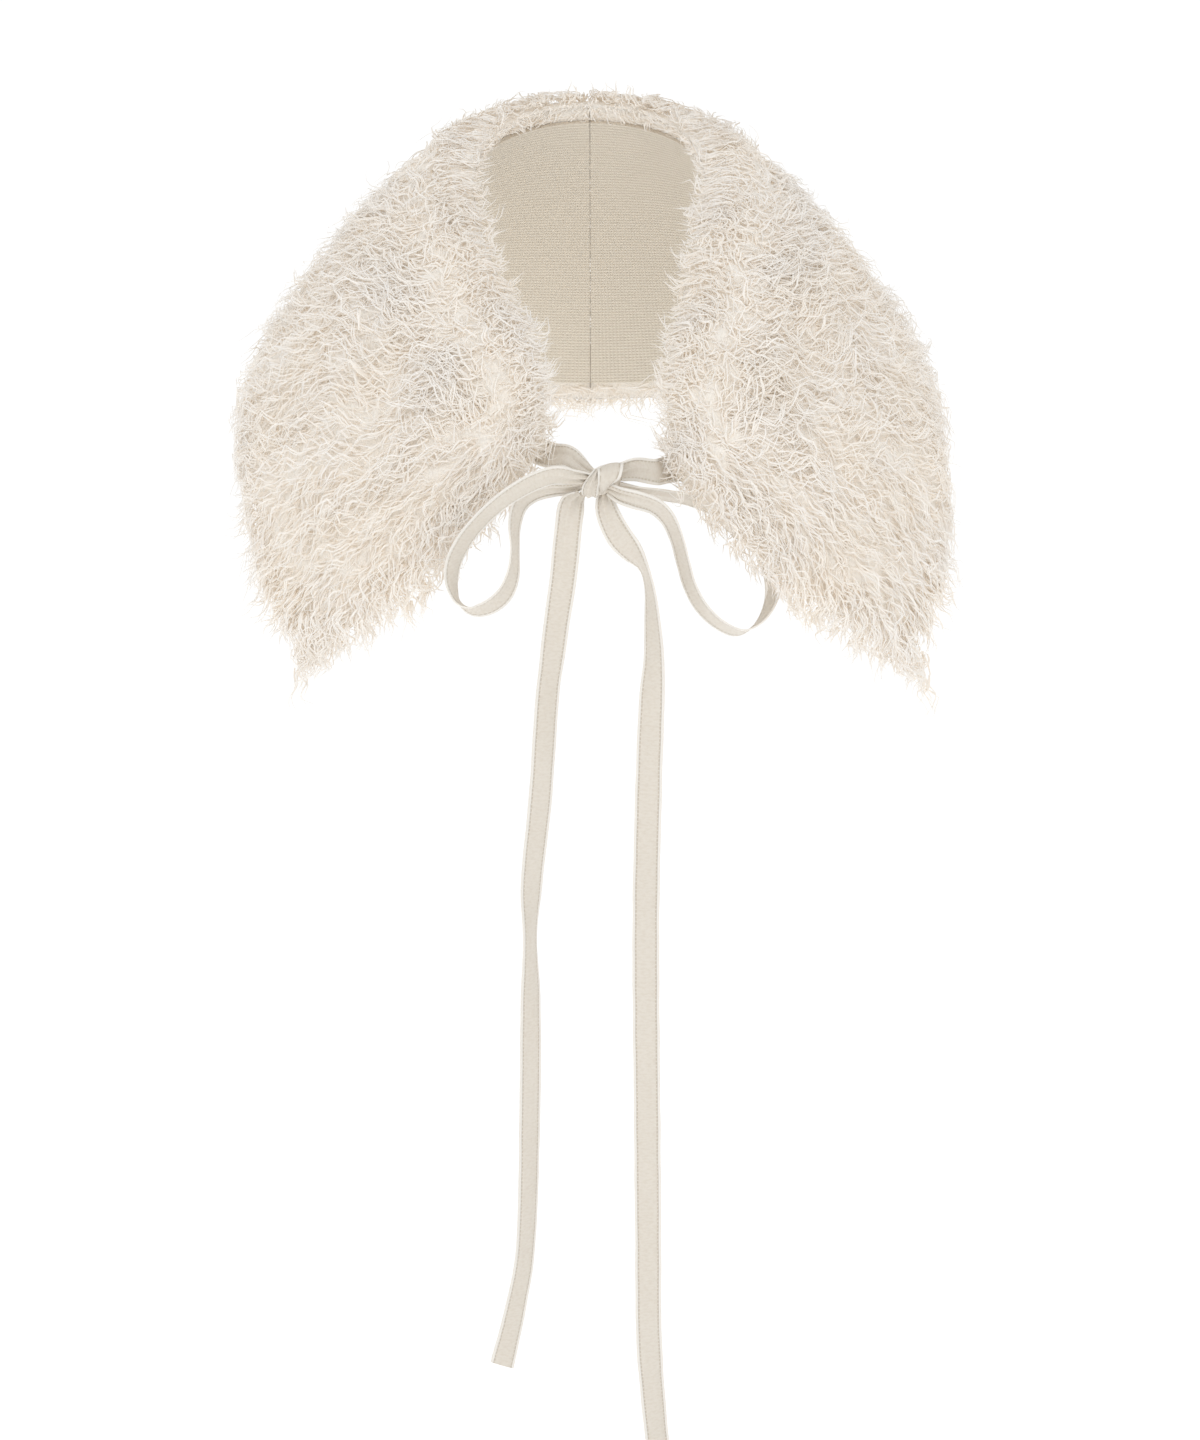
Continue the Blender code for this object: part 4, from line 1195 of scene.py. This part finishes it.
@dataclass(frozen=True)
class Weave:
    """The measures of woven tape."""

    thread_share: float = 0.8       # from thread to thread, as a share of rib to rib
    selvedge: tuple[float, float] = (0.00150, 0.00105)      # from the edge, where it fades in
    stitch_line: float = 0.00165    # how far from the edge the stitches run
    stitch_pitch: float = 0.0019    # from one stitch to the next
    stitch_gap: float = -0.35       # level of their wave below which there is none
    stitch_width: tuple[float, float] = (0.00042, 0.00015)
    slubs_across: float = 420.0     # slubs for each metre
    slubs_along: float = 900.0

    def build(self) -> bpy.types.ShaderNodeTree:
        """Build ribs and threads, a raised selvedge, the stitches inside it, and slubs."""
        outputs = ("Threads", "Selvedge", "Stitches", "Slubs")
        graph, start, end, share, along = new_cloth_effect("woven_tape", outputs)
        width, pitch = start.outputs["Width"], start.outputs["Pitch"]
        across = graph.math("MULTIPLY", graph.math("SUBTRACT", share, 0.5), width)
        half = graph.math("MULTIPLY", width, 0.5)
        inward = graph.math("SUBTRACT", half, graph.math("ABSOLUTE", across))
        ribs = graph.wave(along, pitch)
        threads = graph.wave(across, graph.math("MULTIPLY", pitch, self.thread_share))
        graph.join(graph.math("ADD", ribs, threads), end.inputs["Threads"])
        graph.join(graph.ramp(inward, *self.selvedge), end.inputs["Selvedge"])
        off_line = graph.math("ABSOLUTE", graph.math("SUBTRACT", inward, self.stitch_line))
        stitch = graph.wave(along, self.stitch_pitch)
        in_stitch = graph.math("GREATER_THAN", stitch, self.stitch_gap)
        line = graph.ramp(off_line, *self.stitch_width)
        graph.join(graph.math("MULTIPLY", line, in_stitch), end.inputs["Stitches"])
        drawn = graph.node("ShaderNodeCombineXYZ")
        graph.join(graph.math("MULTIPLY", across, self.slubs_across), drawn.inputs["X"])
        graph.join(graph.math("MULTIPLY", along, self.slubs_along), drawn.inputs["Y"])
        slubs = graph.noise(scale=1.0, detail=3.0)
        graph.join(drawn.outputs["Vector"], slubs.inputs["Vector"])
        graph.join(slubs.outputs["Fac"], end.inputs["Slubs"])
        return graph.tree


@dataclass(frozen=True)
class Knit:
    """The measures of knitted cloth, as shares of the distance between its columns."""

    slope: float = 0.6              # how far a stitch's legs run down
    row: float = 0.8                # from one row to the next
    relief: float = 0.4             # height of the rows, as a share of the columns'

    def build(self) -> bpy.types.ShaderNodeTree:
        """Build columns of V-shaped stitches."""
        graph, start, end, share, along = new_cloth_effect("knitted_cloth", ("Height",))
        pitch = start.outputs["Pitch"]
        across = graph.math("MULTIPLY", share, start.outputs["Width"])
        column = graph.math("ABSOLUTE", graph.wave(across, graph.math("MULTIPLY", pitch, 2.0)))
        leg = graph.math("MULTIPLY", column, graph.math("MULTIPLY", pitch, self.slope))
        legs = graph.math("ADD", along, leg)
        rows = graph.wave(legs, graph.math("MULTIPLY", pitch, self.row))
        stitches = graph.math("MULTIPLY", rows, self.relief)
        graph.join(graph.math("ADD", column, stitches), end.inputs["Height"])
        return graph.tree


@dataclass
class Effects:
    """The effects that more than one finish uses, each built once."""

    tone: bpy.types.ShaderNodeTree = field(default_factory=tone_effect)
    weave: bpy.types.ShaderNodeTree = field(default_factory=Weave().build)
    knit: bpy.types.ShaderNodeTree = field(default_factory=Knit().build)


@dataclass(frozen=True)
class HairFinish:
    """Ivory hair, warm and deeper in colour at its root."""

    root: tuple[float, float, float] = (0.955, 0.905, 0.838)
    tip: tuple[float, float, float] = (0.930, 0.912, 0.890)
    warm: tuple[float, float, float] = (0.935, 0.896, 0.840)
    roughness: float = 0.60
    sheen: float = 0.20
    specular: float = 0.3

    def build(self, effects: Effects) -> bpy.types.Material:
        """Return the material of the hairs, which reads their grown and tone attributes."""
        material, graph, shader = new_material("hair")
        grown = graph.node("ShaderNodeAttribute", attribute_name="grown").outputs["Fac"]
        tone = graph.node("ShaderNodeAttribute", attribute_name="tone").outputs["Fac"]
        uneven = graph.place(effects.tone, fibre=0.0009)
        share = graph.math("ADD", graph.ramp(uneven.outputs["Patch"], 0.35, 0.75),
                           graph.math("MULTIPLY", tone, 0.45))
        tip = graph.mix(share, self.tip, self.warm)
        colour = graph.mix(graph.math("POWER", grown, 0.8), self.root, tip)
        graph.join(colour, shader.inputs["Base Color"])
        graph.bump(shader, uneven.outputs["Fine"], 0.25, 0.0002)
        set_inputs(shader, {"Roughness": self.roughness, "Sheen Weight": self.sheen,
                            "Sheen Roughness": 0.5, "Specular IOR Level": self.specular})
        return material


@dataclass(frozen=True)
class BodyFinish:
    """The dense body of the pile, seen between the hairs."""

    deep: tuple[float, float, float] = (0.935, 0.880, 0.805)
    light: tuple[float, float, float] = (0.955, 0.915, 0.855)
    roughness: float = 0.9
    specular: float = 0.15

    def build(self, effects: Effects) -> bpy.types.Material:
        """Return the body's material."""
        material, graph, shader = new_material("pile_body")
        uneven = graph.place(effects.tone, fibre=0.0016)
        colour = graph.mix(graph.ramp(uneven.outputs["Fine"], 0.35, 0.65), self.deep, self.light)
        graph.join(colour, shader.inputs["Base Color"])
        graph.bump(shader, uneven.outputs["Fine"], 0.8, 0.0010)
        set_inputs(shader, {"Roughness": self.roughness, "Specular IOR Level": self.specular})
        return material


@dataclass(frozen=True)
class RibbonFinish:
    """Cream woven tape with a raised selvedge coloured lighter as a painted highlight, and a line
    of stitches beside it.
    """

    middle: tuple[float, float, float] = (0.750, 0.692, 0.606)
    shade: tuple[float, float, float] = (0.700, 0.632, 0.536)
    # lighter colour of the random patches, and the painted highlight along the raised selvedge
    edge: tuple[float, float, float] = (0.885, 0.848, 0.785)
    stitch: tuple[float, float, float] = (0.560, 0.470, 0.350)
    pitch: float = 0.00062          # from rib to rib
    roughness: float = 0.48
    sheen: float = 0.15
    specular: float = 0.45
    thread_height: float = 0.18     # heights, as shares of the bump's distance
    selvedge_height: float = 1.6
    stitch_depth: float = 1.0
    slub_height: float = 0.3

    def build(self, effects: Effects, name: str, length: float) -> bpy.types.Material:
        """Return the material of one ribbon of that length."""
        material, graph, shader = new_material(name)
        place = graph.node("ShaderNodeUVMap").outputs["UV"]
        tape = graph.place(effects.weave, uv=place, length=length, width=RIBBON_WIDTH,
                           pitch=self.pitch)
        uneven = graph.place(effects.tone, fibre=0.0011)
        cloth = graph.mix(graph.ramp(tape.outputs["Slubs"], 0.30, 0.62), self.shade, self.middle)
        cloth = graph.mix(graph.math("MULTIPLY", uneven.outputs["Patch"], 0.35), cloth, self.edge)
        # Painted highlight: the selvedge is coloured lighter, as where its raised cord catches the
        # light.
        cloth = graph.mix(tape.outputs["Selvedge"], cloth, self.edge)
        seam = graph.math("MULTIPLY", tape.outputs["Stitches"], 0.50)
        graph.join(graph.mix(seam, cloth, self.stitch), shader.inputs["Base Color"])
        threads = graph.math("MULTIPLY", tape.outputs["Threads"], self.thread_height)
        selvedge = graph.math("MULTIPLY", tape.outputs["Selvedge"], self.selvedge_height)
        raised = graph.math("ADD", threads, selvedge)
        stitches = graph.math("MULTIPLY", tape.outputs["Stitches"], self.stitch_depth)
        raised = graph.math("SUBTRACT", raised, stitches)
        slubs = graph.math("MULTIPLY", tape.outputs["Slubs"], self.slub_height)
        raised = graph.math("ADD", raised, slubs)
        graph.bump(shader, raised, 0.8, 0.00022)
        set_inputs(shader, {"Roughness": self.roughness, "Sheen Weight": self.sheen,
                            "Specular IOR Level": self.specular})
        return material


@dataclass(frozen=True)
class BackingFinish:
    """Knitted backing cloth, a little fluffy."""

    thread: tuple[float, float, float] = (0.80, 0.74, 0.64)
    # painted shade: colour of the knit's hollows between the stitches, darker than its threads
    hollow_shade: tuple[float, float, float] = (0.60, 0.52, 0.42)
    pitch: float = 0.0016           # from column to column
    roughness: float = 0.95
    sheen: float = 0.15

    def build(self, effects: Effects, name: str, width: float,
              length: float) -> bpy.types.Material:
        """Return the material of one half's backing, whose flat size is given."""
        material, graph, shader = new_material(name)
        place = graph.node("ShaderNodeUVMap").outputs["UV"]
        knit = graph.place(effects.knit, uv=place, length=length, width=width, pitch=self.pitch)
        uneven = graph.place(effects.tone, fibre=0.0010)
        height = knit.outputs["Height"]
        # Painted shade: where the knit's height is low, between the stitches, it takes the darker
        # hollow colour.
        colour = graph.mix(graph.ramp(height, -0.1, 0.9), self.hollow_shade, self.thread)
        fluff = graph.math("MULTIPLY", uneven.outputs["Fine"], 0.5)
        graph.join(graph.mix(fluff, colour, self.thread), shader.inputs["Base Color"])
        graph.bump(shader, graph.math("ADD", height, uneven.outputs["Fine"]), 0.6, 0.0004)
        set_inputs(shader, {"Roughness": self.roughness, "Sheen Weight": self.sheen})
        return material


class Lamp(NamedTuple):
    """A square soft light that faces the collar."""

    name: str
    place: tuple[float, float, float]
    size: float
    power: float
    colour: tuple[float, float, float]


@dataclass
class Studio:
    """The camera, the soft lights and the pale floor."""

    eye: tuple[float, float, float] = (0.005, -1.9, 0.278)
    pitch: float = math.radians(14.0)       # how far the camera looks down
    focal_pixels: float = 3980.0
    sensor: float = 36.0
    floor_height: float = -0.72
    floor_size: float = 60.0
    floor_tone: float = 0.94
    floor_glow: float = 0.38
    surround: float = 0.70                  # strength of the even white light from all round
    bounces: int = 12                       # with fewer, light is lost in the pale pile
    lamps: tuple[Lamp, ...] = (
        Lamp("key", (0.7, -1.7, 1.8), 1.3, 12.5, (1.0, 0.985, 0.96)),
        Lamp("fill", (-1.6, -1.5, 0.9), 1.5, 6.0, (0.97, 0.985, 1.0)),
    )

    def set_camera(self) -> None:
        """Put the camera in front of the collar and look slightly down on it."""
        data = bpy.data.cameras.new("camera")
        data.sensor_width = self.sensor
        data.lens = self.focal_pixels / IMAGE_HEIGHT * self.sensor
        camera = bpy.data.objects.new("camera", data)
        camera.location = self.eye
        camera.rotation_euler = (math.pi / 2.0 - self.pitch, 0.0, 0.0)
        bpy.context.scene.collection.objects.link(camera)
        bpy.context.scene.camera = camera

    def add_lamp(self, lamp: Lamp) -> None:
        """Add one light and turn it to the collar."""
        data = bpy.data.lights.new(lamp.name, "AREA")
        data.size = lamp.size
        data.energy = lamp.power
        data.color = lamp.colour
        light = bpy.data.objects.new(lamp.name, data)
        light.location = lamp.place
        light.rotation_euler = (-Vector(lamp.place)).to_track_quat("-Z", "Y").to_euler()
        bpy.context.scene.collection.objects.link(light)

    def set_lights(self) -> None:
        """Light the collar softly from in front and above, with an even white surround."""
        bpy.context.scene.cycles.diffuse_bounces = self.bounces
        world = bpy.data.worlds.new("surround")
        world.use_nodes = True
        background = world.node_tree.nodes["Background"]
        set_inputs(background, {"Color": (1.0, 1.0, 1.0, 1.0), "Strength": self.surround})
        bpy.context.scene.world = world
        for lamp in self.lamps:
            self.add_lamp(lamp)

    def add_floor(self) -> None:
        """Lay the plain pale floor."""
        deselect()
        place = (0.0, 0.0, self.floor_height)
        bpy.ops.mesh.primitive_plane_add(size=self.floor_size, location=place)
        floor = bpy.context.active_object
        floor.name = "floor"
        material, _, shader = new_material("floor")
        tone = self.floor_tone
        set_inputs(shader, {"Base Color": (tone, tone, tone, 1.0), "Roughness": 0.9,
                            "Emission Color": (1.0, 1.0, 1.0, 1.0),
                            "Emission Strength": self.floor_glow})
        floor.data.materials.append(material)


def sewn_start(band: Band, knot: Knot) -> tuple[Turn, ...]:
    """Return the first rows of a tie: flat under its front corner, then clear of it."""
    corner, out = (v[0] for v in band.surface(np.array([1.0]), np.array([0.0])))
    towards = np.array(knot.middle) - corner
    towards = unit(towards - out * np.dot(towards, out))
    across = np.cross(out, towards)
    across = across if across[2] < 0.0 else -across
    under = corner - out * (BACKING_WALL / 2.0 + GAP + SOLID_RIBBON_WALL / 2.0)
    ends = (under - towards * TIE_SEWN, under + towards * TIE_CLEAR)
    return tuple(Turn(*end, *across, 1.0) for end in ends)


def make_ribbon(ribbon: Ribbon, effects: Effects) -> bpy.types.Object:
    """Build a ribbon in the place of its solid, which has its name without the first word."""
    piece = ribbon.build()
    dress(piece, RibbonFinish().build(effects, ribbon.name, ribbon.length))
    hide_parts(ribbon.name.removeprefix("ribbon_"))
    LOG.info("%s is %.4f m long", ribbon.name, ribbon.length)
    return piece


def make_bow(bands: dict[Side, Band], effects: Effects) -> None:
    """Build the knot, the loops and tails that leave it, and the ties that reach it."""
    knot = Knot()
    middle = knot.build()
    dress(middle, RibbonFinish().build(effects, "ribbon_knot", 0.02))
    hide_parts("knot")
    for name, route in (("loop_left", LOOP_LEFT), ("loop_right", LOOP_RIGHT)):
        loop = Ribbon(f"ribbon_{name}", route, tied_end=True)
        make_ribbon(loop, effects)
    for name, route in (("tail_left", TAIL_LEFT), ("tail_right", TAIL_RIGHT)):
        tail = Ribbon(f"ribbon_{name}", route, spacing=0.0030, slant=0.0030)
        make_ribbon(tail, effects)
    for side, route in ((Side.LEFT, TIE_LEFT), (Side.RIGHT, TIE_RIGHT)):
        tie = Ribbon(f"ribbon_tie_{side.label}", sewn_start(bands[side], knot) + route,
                     tied_start=False, tied_end=True)
        piece = make_ribbon(tie, effects)


def make_half(band: Band, seed: int, effects: Effects, hair: bpy.types.Material,
              body: bpy.types.Material) -> None:
    """Build one half of the collar: its backing, and the pile that the backing carries."""
    side = band.side.label
    backing = Backing(band)
    width, length, area = backing.flat_size()
    cloth = backing.build()
    dress(cloth, BackingFinish().build(effects, f"knit_{side}", width, length))
    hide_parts(f"base_{side}")
    pile = Pile(band, seed)
    dense = pile.build_body()
    dress(dense, body)
    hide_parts(f"fur_{side}")
    coats = [piece for coat in COATS for piece in pile.build_coat(coat)]
    for piece in coats:
        dress(piece, hair)
    LOG.info("backing %s: %.3f by %.3f m, %.4f m2", side, width, length, area)


def main() -> None:
    """Build every piece in order and report it."""
    logging.basicConfig(level=logging.INFO, format="%(message)s")
    bpy.context.scene.view_settings.view_transform = "Standard"
    studio = Studio()
    studio.set_camera()
    studio.set_lights()
    studio.add_floor()

    bands = {
        Side.LEFT: Band(Side.LEFT, SHOULDER_CUTS + LEFT_FRONT_CUTS),
        Side.RIGHT: Band(Side.RIGHT, SHOULDER_CUTS + RIGHT_FRONT_CUTS),
    }
    effects = Effects()
    make_bow(bands, effects)
    hair, body = HairFinish().build(effects), BodyFinish().build(effects)
    for side, seed in SEEDS.items():
        make_half(bands[side], seed, effects, hair, body)


if __name__ == "__main__":
    main()
